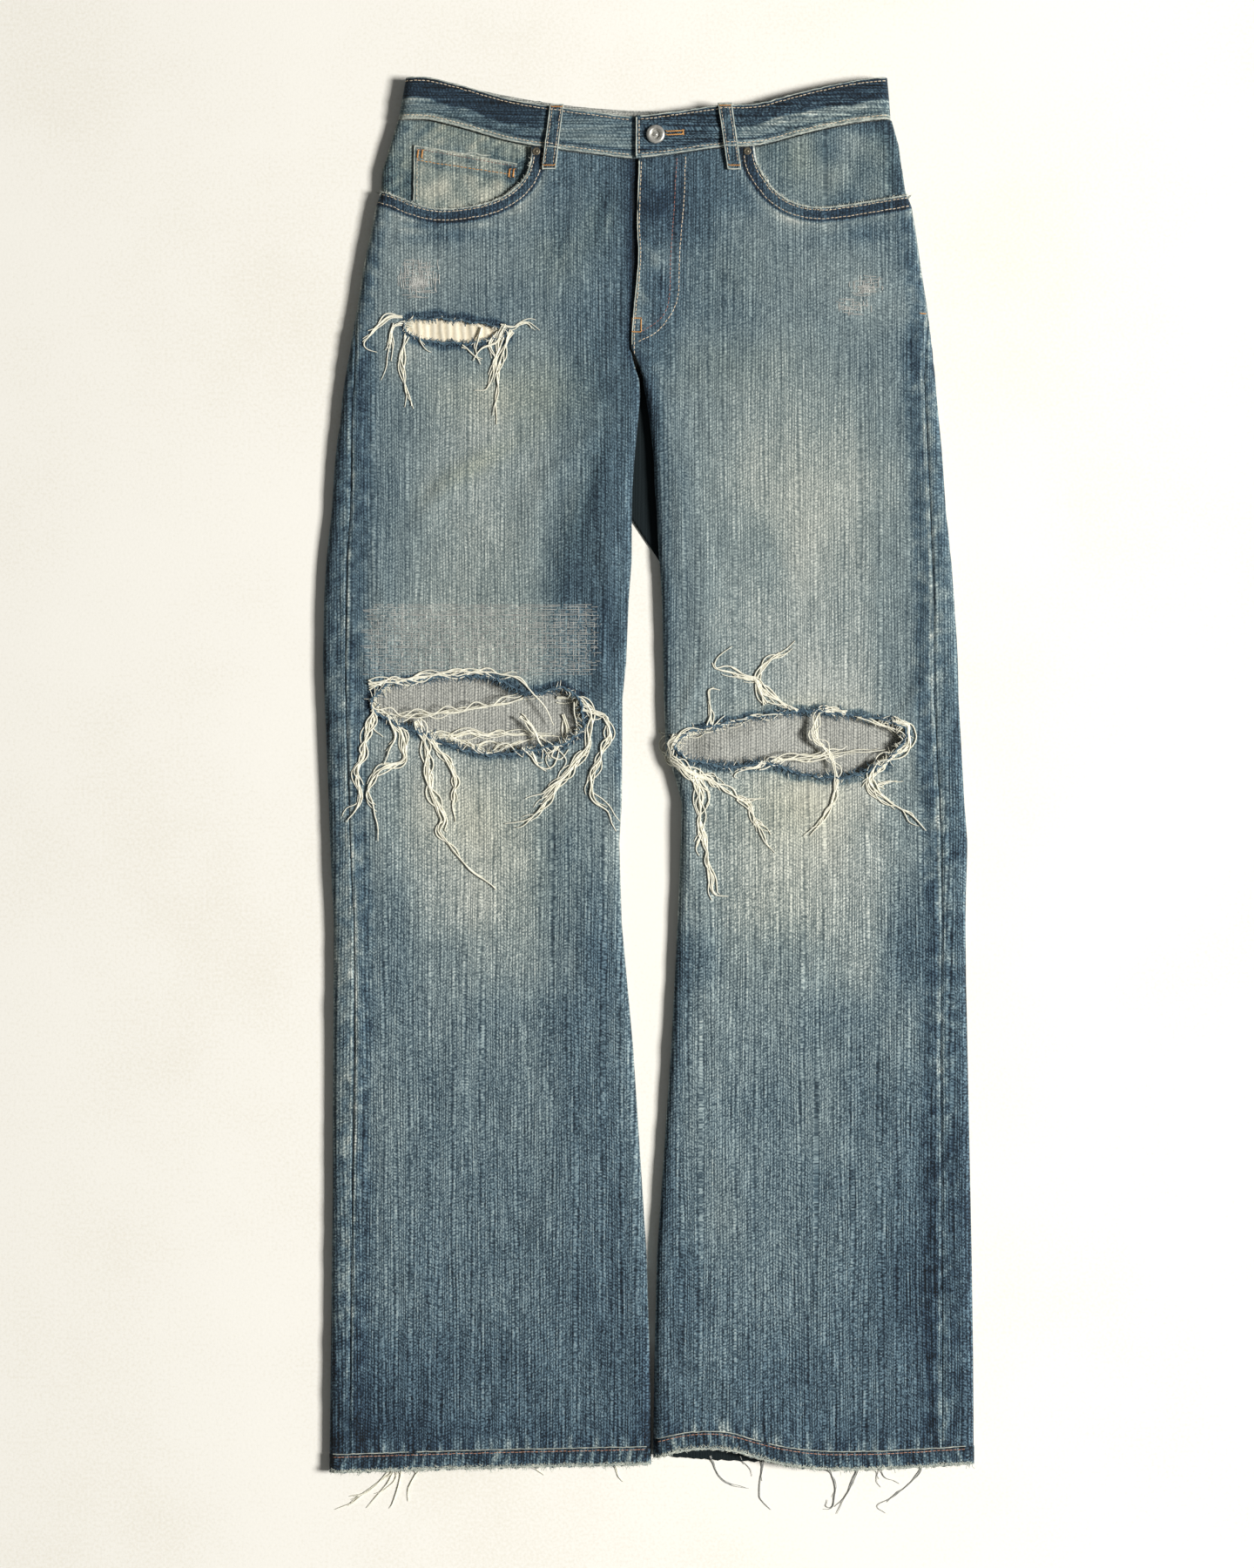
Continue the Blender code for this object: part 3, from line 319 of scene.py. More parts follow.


# how far each place has faded, 0 the unworn indigo and 1 nearly white; the chart also holds painted shade
# along the right thigh's inner fold, and painted light and shade on the outer strips, lighter high on the
# right leg and darker on the left leg
fadeAndShadeChart = {
    # drop: then shares of the leg's width from the outer edge, 0 .2 .35 .5 .65 .8 .92 1
    "Right": [
        (34, .55, .60, .60, .55, .45, .42, .38, .30), (95, .65, .65, .62, .58, .50, .50, .38, .28),
        (120, .75, .62, .58, .60, .58, .56, .46, .28), (150, .66, .72, .66, .64, .61, .55, .46, .26),
        (185, .64, .68, .60, .57, .59, .50, .45, .42), (225, .42, .76, .68, .64, .69, .54, .42, .44),
        (255, .40, .62, .75, .84, .72, .55, .46, .40), (330, .44, .58, .75, .78, .75, .58, .40, .44),
        (390, .46, .60, .74, .77, .73, .46, .40, .50), (440, .48, .66, .74, .73, .72, .46, .30, .44),
        (480, .50, .60, .72, .77, .75, .52, .36, .46), (550, .50, .73, .86, .82, .80, .68, .62, .54),
        (580, .54, .70, .92, .88, .79, .70, .65, .68), (620, .56, .68, .84, .89, .82, .56, .58, .74),
        (660, .58, .58, .79, .88, .76, .56, .50, .62), (710, .74, .54, .66, .72, .73, .60, .38, .52),
        (760, .62, .56, .62, .58, .60, .46, .50, .54), (830, .66, .60, .55, .56, .59, .48, .47, .56),
        (900, .50, .56, .54, .52, .54, .48, .43, .54), (980, .54, .52, .48, .50, .50, .42, .40, .48),
        (1050, .32, .37, .39, .43, .42, .45, .40, .30), (1107, .20, .25, .30, .32, .34, .36, .27, .28),
    ],
    "Left": [
        (34, .55, .60, .60, .45, .40, .40, .45, .40), (95, .60, .56, .62, .56, .45, .38, .32, .34),
        (120, .60, .50, .56, .62, .58, .40, .30, .32), (150, .52, .66, .66, .61, .60, .54, .52, .48),
        (185, .60, .68, .63, .63, .56, .54, .42, .66), (225, .42, .62, .66, .70, .62, .61, .48, .44),
        (255, .52, .64, .72, .75, .75, .68, .62, .26), (330, .50, .73, .84, .85, .80, .71, .60, .48),
        (390, .55, .69, .79, .86, .72, .71, .60, .50), (440, .57, .64, .80, .80, .80, .75, .62, .48),
        (480, .52, .64, .85, .88, .80, .72, .66, .52), (550, .42, .74, .93, .90, .84, .78, .78, .72),
        (580, .46, .66, .88, .96, .86, .78, .78, .62), (620, .42, .68, .80, .92, .87, .80, .76, .66),
        (660, .50, .54, .80, .83, .84, .80, .70, .68), (710, .48, .48, .79, .72, .69, .71, .54, .44),
        (760, .48, .62, .58, .60, .65, .65, .66, .46), (830, .44, .52, .54, .65, .56, .60, .64, .52),
        (900, .36, .45, .54, .55, .59, .65, .56, .40), (980, .40, .34, .48, .56, .57, .54, .42, .52),
        (1050, .38, .42, .48, .44, .44, .50, .48, .46), (1107, .40, .32, .34, .37, .38, .42, .36, .22),
    ],
}
chartShares = [0, 0.2, 0.35, 0.5, 0.65, 0.8, 0.92, 1]
lowerLegs = {"Right": 0.02, "Left": 0.04}  # how much darker each shin is than its chart
# spots: across, drop, half width, half height, turn (degrees), amount
# the lighter spots are wear; among the darker ones, those at -48 and -62 on the right thigh, at -38 and -73
# near the top of the right front, at -214 and -246 by the right knee, and the thin one at -12 beside the fly
# edge are painted shade
fadeAndShadeSpots = {
    "Right": [
        (-185, 161, 15, 13, 0, .10), (-184, 165, 4, 4, 0, .25),
        (-48, 350, 9, 36, 14, -.18), (-62, 408, 11, 26, 14, -.12), (-74, 120, 20, 10, 0, -.08),
        (-214, 500, 12, 20, -20, -.20), (-246, 505, 8, 20, 0, -.16), (-208, 535, 14, 14, 0, .06),
        (-170, 128, 40, 5, -4, -.12), (-168, 118, 44, 3, -4, -.25), (-34, 250, 18, 10, 30, -.1),
        (-12, 120, 3, 90, 0, -.18), (-196, 122, 16, 3, 12, .2), (-150, 119, 20, 3, 0, .12),
        (-104, 104, 13, 16, 35, .16), (-92, 82, 8, 14, 0, .16), (-132, 118, 12, 6, -15, .12),
        (-38, 112, 4, 17, 14, -.14), (-31, 112, 3, 16, 14, .1), (-73, 138, 6, 20, 24, -.09),
    ],
    "Left": [
        (174, 166, 16, 8, 0, .08), (166, 184, 13, 5, 0, .10), (176, 172, 8, 2.4, 0, .2),
        (8, 100, 16, 18, 0, -.14), (8, 135, 14, 14, 0, .08), (10, 170, 14, 16, 0, -.14),
        (26, 120, 3, 60, 0, -.12), (-2, 215, 16, 12, -30, -.08), (225, 545, 10, 24, 0, -.12),
        (30, 580, 10, 14, 20, -.1), (122, 575, 40, 12, 0, .05), (176, 127, 20, 4, 3, -.1),
        (98, 88, 8, 22, -12, .16), (116, 112, 14, 9, 35, .2), (146, 121, 18, 6, 4, .14),
    ],
}
# stains; the olive spots at -52 along the right thigh's fold and at -40 and -72 on its creases tint the
# painted shade there
stainAndShadeSpots = {
    "Right": [
        (-140, 312, 42, 9, -31, .9), (-120, 255, 60, 26, 0, .65), (-150, 590, 50, 34, 0, .6),
        (-110, 640, 60, 60, 0, .35), (-150, 75, 50, 14, 0, .7), (-130, 400, 70, 70, 0, .2),
        (-134, 453, 84, 34, 0, .3), (-52, 360, 14, 60, 14, .6), (-66, 250, 40, 40, 0, .4),
        (-40, 114, 14, 24, 14, .7), (-72, 145, 22, 26, 10, .6),
    ],
    "Left": [
        (116, 585, 52, 34, 0, .8), (106, 660, 52, 60, 0, .4), (120, 330, 70, 90, 0, .3),
        (186, 70, 20, 30, 0, .6), (60, 230, 50, 20, 0, .4), (120, 505, 40, 10, 0, .5),
        (70, 160, 30, 30, 0, .3),
    ],
}


def spotted(spots, across, drop):
    total = np.zeros_like(across)
    for x, d, halfWidth, halfHeight, turn, amount in spots:
        c, s = turnedBy(turn)
        a, b = (across - x) * c + (drop - d) * s, (drop - d) * c - (across - x) * s
        total += amount * blob(a, b, halfWidth, halfHeight)
    return total


def chartFadeAndShade(leg, across, drop):
    rows = np.array(fadeAndShadeChart[leg["name"]])
    outline = np.array(leg["outline"], float)
    outer = np.interp(drop, outline[:, 0], outline[:, 1])
    inner = np.interp(drop, outline[:, 0], outline[:, 2])
    share = np.clip((across - outer) / (inner - outer), 0, 1)
    i = np.clip(np.searchsorted(rows[:, 0], drop) - 1, 0, len(rows) - 2)
    t = ease((drop - rows[i, 0]) / (rows[i + 1, 0] - rows[i, 0]))
    j = np.clip(np.searchsorted(chartShares, share) - 1, 0, len(chartShares) - 2)
    edges = np.array(chartShares)
    s = ease((share - edges[j]) / (edges[j + 1] - edges[j]))
    upper = rows[i, j + 1] * (1 - s) + rows[i, j + 2] * s
    lower = rows[i + 1, j + 1] * (1 - s) + rows[i + 1, j + 2] * s
    return upper * (1 - t) + lower * t - lowerLegs[leg["name"]] * ease((drop - 640) / 80)


# pocket mouths and tears, as outlines on the flat front
mouths = {
    "Right": [(-94.5, 50), (-95, 66), (-98.5, 77.5), (-105.5, 87), (-117, 95.5), (-134, 102),
              (-158, 105.5), (-175, 105), (-190, 101), (-203, 95.5), (-219, 90)],
    "Left": [(84, 50), (87, 69), (93.5, 81), (102.5, 92), (116, 100.5), (133.5, 104.5), (152, 103.5),
             (178, 99.5), (199, 96), (212, 93)],
}
tears = {
    "Right": {
        "thigh": [(-195.5, 198), (-183, 195), (-161, 195), (-134.5, 198.5), (-116, 202.5),
                  (-117, 208.5), (-128, 211), (-148, 214), (-174, 212.5), (-191, 207)],
        "knee": [(-221.5, 500), (-207, 488), (-180, 484.5), (-144, 481.5), (-126, 484), (-109, 491),
                 (-94, 496), (-68, 492), (-57, 502), (-53, 514), (-58, 528), (-82, 538), (-116, 543),
                 (-134, 543), (-155, 538), (-177, 529), (-203, 519), (-219, 509)],
    },
    "Left": {
        "knee": [(23, 536), (36, 526), (54, 521.5), (80, 516), (107, 511), (134, 510.5), (161, 513),
                 (193, 518.5), (206, 526), (200, 538), (188, 551), (173, 558), (152, 562), (125, 560),
                 (107, 554), (89, 551), (68, 553.5), (41, 550), (27, 544)],
    },
}


def through(points, step, closed=False):
    # a smooth run through given points, one point every step millimetres
    points = [Vector(p) for p in points]
    count = len(points)
    out = []
    for i in range(count if closed else count - 1):
        a, b = points[i], points[(i + 1) % count]
        before = points[i - 1] if closed or i > 0 else a * 2 - b
        after = points[(i + 2) % count] if closed or i + 2 < count else b * 2 - a
        pieces = max(1, round((b - a).length / step))
        for k in range(pieces):
            t = k / pieces
            out.append(0.5 * (2 * a + (b - before) * t + (2 * before - 5 * a + 4 * b - after) * t * t
                              + (3 * a - before - 3 * b + after) * t ** 3))
    if not closed:
        out.append(points[-1])
    return out


def ragged(outline, seed, rough):
    # the outline of a tear, with broken yarns that jut in and out
    run = np.array([p[:2] for p in through(outline, 1.0, closed=True)])
    ahead = np.roll(run, -1, 0) - np.roll(run, 1, 0)
    side = np.stack([-ahead[:, 1], ahead[:, 0]], 1) / np.maximum(np.hypot(*ahead.T), 1e-6)[:, None]
    marks = np.arange(len(run)) * 1.0
    jut = 0.6 * wobble(marks, 0, 9, seed) + 0.5 * wobble(marks, 0, 3.6, seed + 1)
    return run + side * (rough * jut)[:, None]


def distanceTo(outline, across, drop, closed=True):
    # signed distance to an outline (negative inside) and the nearest point on it
    a = np.asarray(outline, float)
    b = np.roll(a, -1, 0) if closed else a[1:]
    a = a if closed else a[:-1]
    best = np.full(across.shape, 1e9)
    nearest = np.zeros(across.shape + (2,))
    inside = np.zeros(across.shape, bool)
    for (ax, ay), (bx, by) in zip(a, b):
        dx, dy = bx - ax, by - ay
        t = np.clip(((across - ax) * dx + (drop - ay) * dy) / max(dx * dx + dy * dy, 1e-12), 0, 1)
        px, py = ax + t * dx, ay + t * dy
        far = np.hypot(across - px, drop - py)
        closer = far < best
        best = np.where(closer, far, best)
        nearest[closer] = np.stack([px, py], -1)[closer]
        if closed and ay != by:
            inside ^= ((ay > drop) != (by > drop)) & (across < ax + (drop - ay) * dx / (by - ay))
    return np.where(inside, -best, best), nearest


def mouthArea(leg):
    line = [tuple(p[:2]) for p in through(mouths[leg["name"]], 3)]
    far = leg["outward"] * 240
    return line + [(far, line[-1][1]), (far, 20), (line[0][0], 20)]


# meshes
def linear(red, green, blue):
    # a colour as it shows on a screen, 0 to 255, in the linear values that the shaders take
    out = []
    for value in (red, green, blue):
        value /= 255
        out.append(value / 12.92 if value <= 0.04045 else ((value + 0.055) / 1.055) ** 2.4)
    return (*out, 1.0)


def toWorld(across, drop, height):
    return np.stack([across * mm, topEdge - drop * mm, height * mm], -1)


def addObject(name, data):
    thing = bpy.data.objects.new(name, data)
    bpy.context.scene.collection.objects.link(thing)
    return thing


def meshOf(bm, name):
    mesh = bpy.data.meshes.new(name)
    bm.to_mesh(mesh)
    bm.free()
    return mesh


def finishObject(name, mesh, finishes):
    thing = addObject(name, mesh)
    for stuff in finishes:
        mesh.materials.append(stuff)
    mesh.shade_smooth()
    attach(thing, "root")
    return thing


def dress(piece, node):
    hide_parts(node)
    return piece


noSeam = (99.0, 99.0)  # a place far from every seam


def clothSheet(name, across, drop, height, grain, fadeAndShade, stainAndShadeTint, finishes, wall,
               seams=noSeam, gone=None, closed=False, outside="up", marks=()):
    # a sheet of cloth on a grid of places, each array one value for each row and column
    rows, columns = across.shape[0] - 1, across.shape[1] - 1
    bm = bmesh.new()
    bmesh.ops.create_grid(bm, x_segments=columns, y_segments=rows, size=0.5)
    mesh = meshOf(bm, name)
    flat = np.empty(len(mesh.vertices) * 3)
    mesh.vertices.foreach_get("co", flat)
    flat = flat.reshape(-1, 3)
    j = np.rint((flat[:, 0] + 0.5) * columns).astype(int)
    i = np.rint((0.5 - flat[:, 1]) * rows).astype(int)
    mesh.vertices.foreach_set("co", toWorld(across, drop, height)[i, j].ravel())
    corner = np.empty(len(mesh.loops), int)
    mesh.loops.foreach_get("vertex_index", corner)
    for layer, pair in (("grain", grain), ("seams", seams)):
        if pair is not None:
            places = np.stack([np.broadcast_to(p, across.shape) for p in pair], -1)[i, j] * mm
            mesh.uv_layers.new(name=layer).data.foreach_set("uv", places[corner].ravel())
    # the fade mark carries the cloth's fade with painted shade laid into it in places, and the stain mark
    # carries its stains with the olive tint of that painted shade
    for label, values in (("fadeAndShade", fadeAndShade), ("stainAndShadeTint", stainAndShadeTint), *marks):
        kept = mesh.attributes.new(label, "FLOAT", "POINT")
        kept.data.foreach_set("value", np.broadcast_to(values, across.shape)[i, j].ravel())
    bm = bmesh.new()
    bm.from_mesh(mesh)
    if gone is not None:
        bm.verts.ensure_lookup_table()
        flags = gone[i, j]
        lost = [f for f in bm.faces if flags[[v.index for v in f.verts]].all()]
        bmesh.ops.delete(bm, geom=lost, context="FACES")
    if closed:
        bmesh.ops.remove_doubles(bm, verts=bm.verts, dist=1e-6)
    bm.normal_update()
    if outside == "ring":
        turned = max(bm.faces, key=lambda f: f.calc_center_median().z).normal.z < 0
    else:
        turned = (sum(f.normal.z for f in bm.faces) < 0) == (outside == "up")
    if turned:
        bmesh.ops.reverse_faces(bm, faces=bm.faces)
    bm.to_mesh(mesh)
    bm.free()
    thing = finishObject(name, mesh, finishes)
    wallModifier = thing.modifiers.new("Wall", "SOLIDIFY")
    wallModifier.thickness = wall * mm
    wallModifier.offset = 0
    wallModifier.use_even_offset = True
    wallModifier.material_offset = len(finishes) - 1
    return thing


def threads(name, runs, finish, sides=1, smoothness=2):
    # round yarns: each run is a list of (across, drop, height, radius), all in one mesh
    curve = bpy.data.curves.new(name, "CURVE")
    curve.dimensions = "3D"
    curve.bevel_depth = mm
    curve.bevel_resolution = sides
    curve.use_fill_caps = True
    curve.resolution_u = smoothness
    for run in runs:
        spline = curve.splines.new("NURBS" if len(run) > 2 else "POLY")
        spline.points.add(len(run) - 1)
        places = [(x * mm, topEdge - d * mm, z * mm, 1.0) for x, d, z, _ in run]
        spline.points.foreach_set("co", [value for place in places for value in place])
        spline.points.foreach_set("radius", [radius for *_, radius in run])
        spline.order_u = min(4, len(run))
        spline.use_endpoint_u = True
    holder = addObject(name, curve)
    graph = bpy.context.evaluated_depsgraph_get()
    mesh = bpy.data.meshes.new_from_object(holder.evaluated_get(graph))
    bpy.data.objects.remove(holder)
    bpy.data.curves.remove(curve)
    mesh.name = name
    mesh.materials.clear()
    return finishObject(name, mesh, [finish])


# finishes
class Nodes:
    # a material's node tree, with a short way to add and join nodes
    def __init__(self, name):
        self.material = bpy.data.materials.new(name)
        self.material.use_nodes = True
        self.tree = self.material.node_tree
        self.shader = self.tree.nodes["Principled BSDF"]

    def add(self, kind, settings=(), **inputs):
        node = self.tree.nodes.new("ShaderNode" + kind)
        for key, value in dict(settings).items():
            setattr(node, key, value)
        for key, value in inputs.items():
            numbered = key[0] == "i" and key[1:].isdigit()
            self.plug(value, node.inputs[int(key[1:]) if numbered else key])
        return node

    def plug(self, value, socket):
        if isinstance(value, bpy.types.NodeSocket):
            self.tree.links.new(value, socket)
        else:
            socket.default_value = value

    def grainNoise(self, vector, size, turn=0.0, detail=2.0, seed=0.0):
        # noise whose grains have the given width and length in millimetres
        mapping = self.add("Mapping", {"vector_type": "TEXTURE"}, Vector=vector,
                           Location=(seed, seed * 0.7, 0), Rotation=(0, 0, math.radians(turn)),
                           Scale=(size[0] * mm, size[1] * mm, size[-1] * mm))
        noise = self.add("TexNoise", Vector=mapping.outputs[0], Scale=1.0, Detail=detail, Roughness=0.6)
        return noise.outputs["Fac"]

    def math(self, operation, a, b=0.0, c=0.0):
        return self.add("Math", {"operation": operation}, i0=a, i1=b, i2=c).outputs[0]

    def times(self, a, b):
        return self.math("MULTIPLY", a, b)

    def timesPlus(self, a, b, c):
        return self.math("MULTIPLY_ADD", a, b, c)

    def less(self, a, b):
        return self.math("SUBTRACT", a, b)

    def uv(self, name):
        return self.add("UVMap", {"uv_map": name}).outputs[0]

    def mark(self, name):
        return self.add("Attribute", {"attribute_name": name}).outputs["Fac"]

    def sum(self, start, parts):
        # start plus each noise about its middle, times its amount
        for value, amount in parts:
            start = self.less(self.timesPlus(value, amount, start), amount / 2)
        return start

    def ramp(self, value, stops):
        # each stop is a place and a grey level, or a place and a colour from 0 to 255
        ramp = self.add("ValToRGB", Fac=value)
        band = ramp.color_ramp
        while len(band.elements) < len(stops):
            band.elements.new(0.5)
        for element, (place, colour) in zip(band.elements, stops):
            element.position = place
            element.color = linear(*colour) if isinstance(colour, tuple) else (colour, colour, colour, 1.0)
        return ramp.outputs["Color"]

    def mix(self, kind, factor, a, b):
        node = self.add("Mix", {"data_type": "RGBA", "blend_type": kind})
        self.plug(factor, node.inputs[0])
        self.plug(a, node.inputs[6])
        self.plug(b, node.inputs[7])
        return node.outputs[2]

    def bump(self, height, strength, depth):
        node = self.add("Bump", Height=height, Strength=strength, Distance=depth * mm)
        self.tree.links.new(node.outputs[0], self.shader.inputs["Normal"])

    def done(self, colour, roughness, metallic=0.0, specular=0.25, sheen=0.0):
        values = {"Base Color": colour, "Roughness": roughness, "Metallic": metallic,
                  "Specular IOR Level": specular, "Sheen Weight": sheen}
        for name, value in values.items():
            self.plug(value, self.shader.inputs[name])
        return self.material


denimLook = {
    # the twill's columns of dashes, in mm, and how much each thing changes the colour
    "column": 2.5, "pitch": 2.5, "step": 0.42, "band": 11, "weave": 0.5,
    "yarns": 3, "slub": 50, "slubAmount": 1.1, "cell": 1.2, "cellAmount": 0.5,
    # how far a yarn leaves the colour around it, and its brightness
    "hue": 0.4, "depth": 5.7, "brightest": 1.7,
    "patch": (34, 48), "patchAmount": 0.14,
    "tones": [(0.0, (20, 27, 34)), (0.25, (35, 52, 67)), (0.5, (74, 94, 105)), (0.75, (121, 134, 135)),
              (1.0, (180, 183, 176))],
}


def weaveOf(n, grain, look):
    # columns of dashes, each a step lower than the last one; some bands step the other way
    place = n.add("SeparateXYZ", Vector=grain)
    wander = n.grainNoise(grain, (70, 160), detail=1.0, seed=3.0)
    squeeze = n.grainNoise(grain, (7, 260), detail=0.0, seed=5.5)  # some columns are wider than others
    columns = n.sum(0.0, [(wander, 0.8), (squeeze, 2.4)])
    columns = n.timesPlus(place.outputs[0], 1 / (look["column"] * mm), columns)
    number, inside = n.math("FLOOR", columns), n.math("FRACT", columns)
    pick = n.add("TexWhiteNoise", {"noise_dimensions": "1D"}, W=number).outputs["Value"]
    band = n.math("FLOOR", n.timesPlus(wander, 3.0, n.times(columns, look["column"] / look["band"])))
    way = n.add("TexWhiteNoise", {"noise_dimensions": "1D"}, W=band).outputs["Value"]
    side = n.timesPlus(n.math("GREATER_THAN", way, 0.4), 2.0, -1.0)
    step = n.times(n.times(columns, look["step"]), side)
    turn = n.timesPlus(place.outputs[1], 1 / (look["pitch"] * mm), step)
    hitch = n.grainNoise(grain, (2.5, 11), detail=1.0, seed=6.7)
    turn = n.timesPlus(hitch, 1.3, n.timesPlus(pick, 0.25, turn))
    turn = n.times(turn, math.tau)
    crown = n.times(n.times(inside, n.less(1.0, inside)), 4.0)
    dash = n.timesPlus(n.math("SINE", turn), 0.5, 0.5)
    weave = n.times(n.timesPlus(dash, 0.5, 0.5), crown)
    # each yarn of a column has its own colour, and every crossing is worn to its own degree
    yarn = n.math("FLOOR", n.times(columns, look["yarns"]))
    slubPlace = n.add("CombineXYZ", X=n.times(yarn, 1.37),
                      Y=n.math("DIVIDE", place.outputs[1], look["slub"] * mm))
    slub = n.add("TexNoise", Vector=slubPlace.outputs[0], Scale=1.0, Detail=2.0, Roughness=0.6)
    row = n.math("FLOOR", n.timesPlus(place.outputs[1], 1 / (look["cell"] * mm), n.times(pick, 7.0)))
    cell = n.add("CombineXYZ", X=yarn, Y=row)
    worn = n.add("TexWhiteNoise", {"noise_dimensions": "2D"}, Vector=cell.outputs[0]).outputs["Value"]
    return weave, slub.outputs["Fac"], worn


def denimFinish():
    look = denimLook
    n = Nodes("denim")
    grain = n.uv("grain")
    seams = n.add("SeparateXYZ", Vector=n.uv("seams"))
    fadeAndShade, stainAndShadeTint, rim, torn = (n.mark(label) for label in ("fadeAndShade", "stainAndShadeTint", "rim", "torn"))
    weave, slub, worn = weaveOf(n, grain, look)
    patch = n.grainNoise(grain, look["patch"], detail=3, seed=1.3)
    rope = n.grainNoise(grain, (16, 7), turn=12, detail=1.5, seed=2.1)
    fray = n.grainNoise(grain, (1.6, 3.0), detail=2, seed=1.9)
    # across the outseam, from 10 mm behind it to 20 mm in front
    ridge = n.ramp(n.math("DIVIDE", n.math("ADD", seams.outputs[0], 0.010), 0.030),
                   [(0.0, 0.5), (0.16, 0.54), (0.26, 0.68), (0.315, 0.56), (0.335, 0.44),
                    (0.36, 0.64), (0.41, 0.7), (0.47, 0.34), (0.68, 0.3), (0.9, 0.46),
                    (1.0, 0.5)])
    ridge = n.times(n.less(ridge, 0.5), n.timesPlus(rope, 2.0, -0.1))
    edge = n.ramp(n.math("DIVIDE", seams.outputs[1], 0.012),
                  [(0.0, 0.8), (0.08, 0.7), (0.16, 0.42), (0.5, 0.44), (1.0, 0.5)])
    # below a pocket mouth: the worn lip, then the dark turned band with a groove under it, painted darkest
    # there as shade
    lip = n.ramp(n.less(1.0, n.timesPlus(n.less(fray, 0.5), 0.05, rim)),
                 [(0.0, 0.98), (0.05, 0.88), (0.085, 0.30), (0.2, 0.22), (0.44, 0.22),
                  (0.5, 0.2), (0.545, 0.1), (0.60, 0.42), (0.68, 0.58), (1.0, 0.5)])
    # beside a tear: broken blue warp, darker towards the hole
    bruise = n.ramp(torn, [(0.0, 0.0), (0.3, 0.12), (0.55, 0.75), (1.0, 1.0)])
    bruise = n.times(bruise, n.timesPlus(fray, 1.4, -0.1))
    yarns = n.sum(0.0, [(weave, look["weave"]), (slub, look["slubAmount"]), (worn, look["cellAmount"])])
    tone = n.sum(fadeAndShade, [(patch, look["patchAmount"]), (edge, 0.45), (lip, 1.25)])
    # the yarns show less where the cloth has faded, and less above the knees than below them
    down = n.math("ABSOLUTE", n.add("SeparateXYZ", Vector=grain).outputs[1])
    calm = n.ramp(n.times(down, 0.9), [(0.0, 0.6), (0.36, 0.62), (0.52, 0.76), (0.68, 0.86), (0.9, 0.9)])
    calm = n.times(calm, n.math("MINIMUM", n.timesPlus(tone, -1.2, 1.88), 1.33))
    yarns = n.times(yarns, n.math("MAXIMUM", calm, 0.45))
    tone = n.timesPlus(yarns, look["hue"], tone)
    # the layers of the outseam pull it into short pale and dark patches
    strip = n.ramp(n.math("DIVIDE", n.math("ADD", seams.outputs[0], 0.020), 0.040),
                   [(0.0, 0.0), (0.2, 0.7), (0.5, 1.0), (0.8, 0.7), (1.0, 0.0)])
    pull = n.times(n.less(n.grainNoise(grain, (9, 13), turn=20, detail=1.0, seed=8.1), 0.5), strip)
    tone = n.timesPlus(pull, 0.75, tone)
    hemmed = n.mark("hemmed")
    streak = n.ramp(n.grainNoise(grain, (5, 45), detail=0.5, seed=9.3), [(0.42, 0.0), (0.66, 1.0)])
    tone = n.timesPlus(hemmed, n.timesPlus(streak, 0.5, -0.12), tone)
    tone = n.timesPlus(ridge, 0.75, n.timesPlus(bruise, -0.7, tone))
    colour = n.ramp(tone, look["tones"])
    colour = n.mix("MULTIPLY", stainAndShadeTint, colour, (1.05, 1.0, 0.88, 1.0))
    depth = n.math("MINIMUM", n.math("POWER", look["depth"], yarns), look["brightest"])
    colour = n.mix("MULTIPLY", 1.0, colour, depth)
    n.bump(n.sum(0.5, [(weave, 0.9), (worn, 0.25), (slub, 0.5)]), 0.5, 0.5)
    return n.done(colour, 0.92, sheen=0.08)


def insideFinish():
    # the wrong side of the denim, mostly pale weft; painted shade darkens it where the shade mark is set
    n = Nodes("denimInside")
    grain = n.uv("grain")
    shade = n.mark("shade")
    look = {"column": 2.3, "pitch": 2.5, "step": 0.5, "band": 9, "yarns": 3, "slub": 60, "cell": 1.2}
    weave, slub, worn = weaveOf(n, grain, look)
    dash = n.grainNoise(grain, (0.9, 2.6), detail=1.5)
    tone = n.sum(0.48, [(weave, 0.55), (slub, 0.4), (dash, 0.2), (worn, 0.35)])
    colour = n.ramp(tone, [(0.0, (84, 86, 84)), (0.35, (136, 138, 134)), (0.65, (178, 179, 172)),
                           (1.0, (218, 217, 207))])
    # the painted shade's colour
    colour = n.mix("MIX", shade, colour, linear(20, 29, 32))
    n.bump(n.sum(0.5, [(weave, 0.8), (dash, 0.6)]), 0.5, 0.5)
    return n.done(colour, 0.95)


def liningFinish():
    n = Nodes("pocketLining")
    grain = n.uv("grain")
    rib = n.add("TexWave", {"wave_type": "BANDS", "bands_direction": "X", "wave_profile": "SIN"},
                Vector=grain, Scale=52.0, Distortion=2.5, Detail=2.0)
    speck = n.grainNoise(grain, (1.4, 2.2), detail=2)
    tone = n.sum(0.62, [(rib.outputs["Fac"], 0.30), (speck, 0.5)])
    colour = n.ramp(tone, [(0.0, (168, 150, 122)), (0.5, (226, 214, 188)), (1.0, (246, 240, 222))])
    n.bump(rib.outputs["Fac"], 0.5, 0.8)
    return n.done(colour, 0.9)


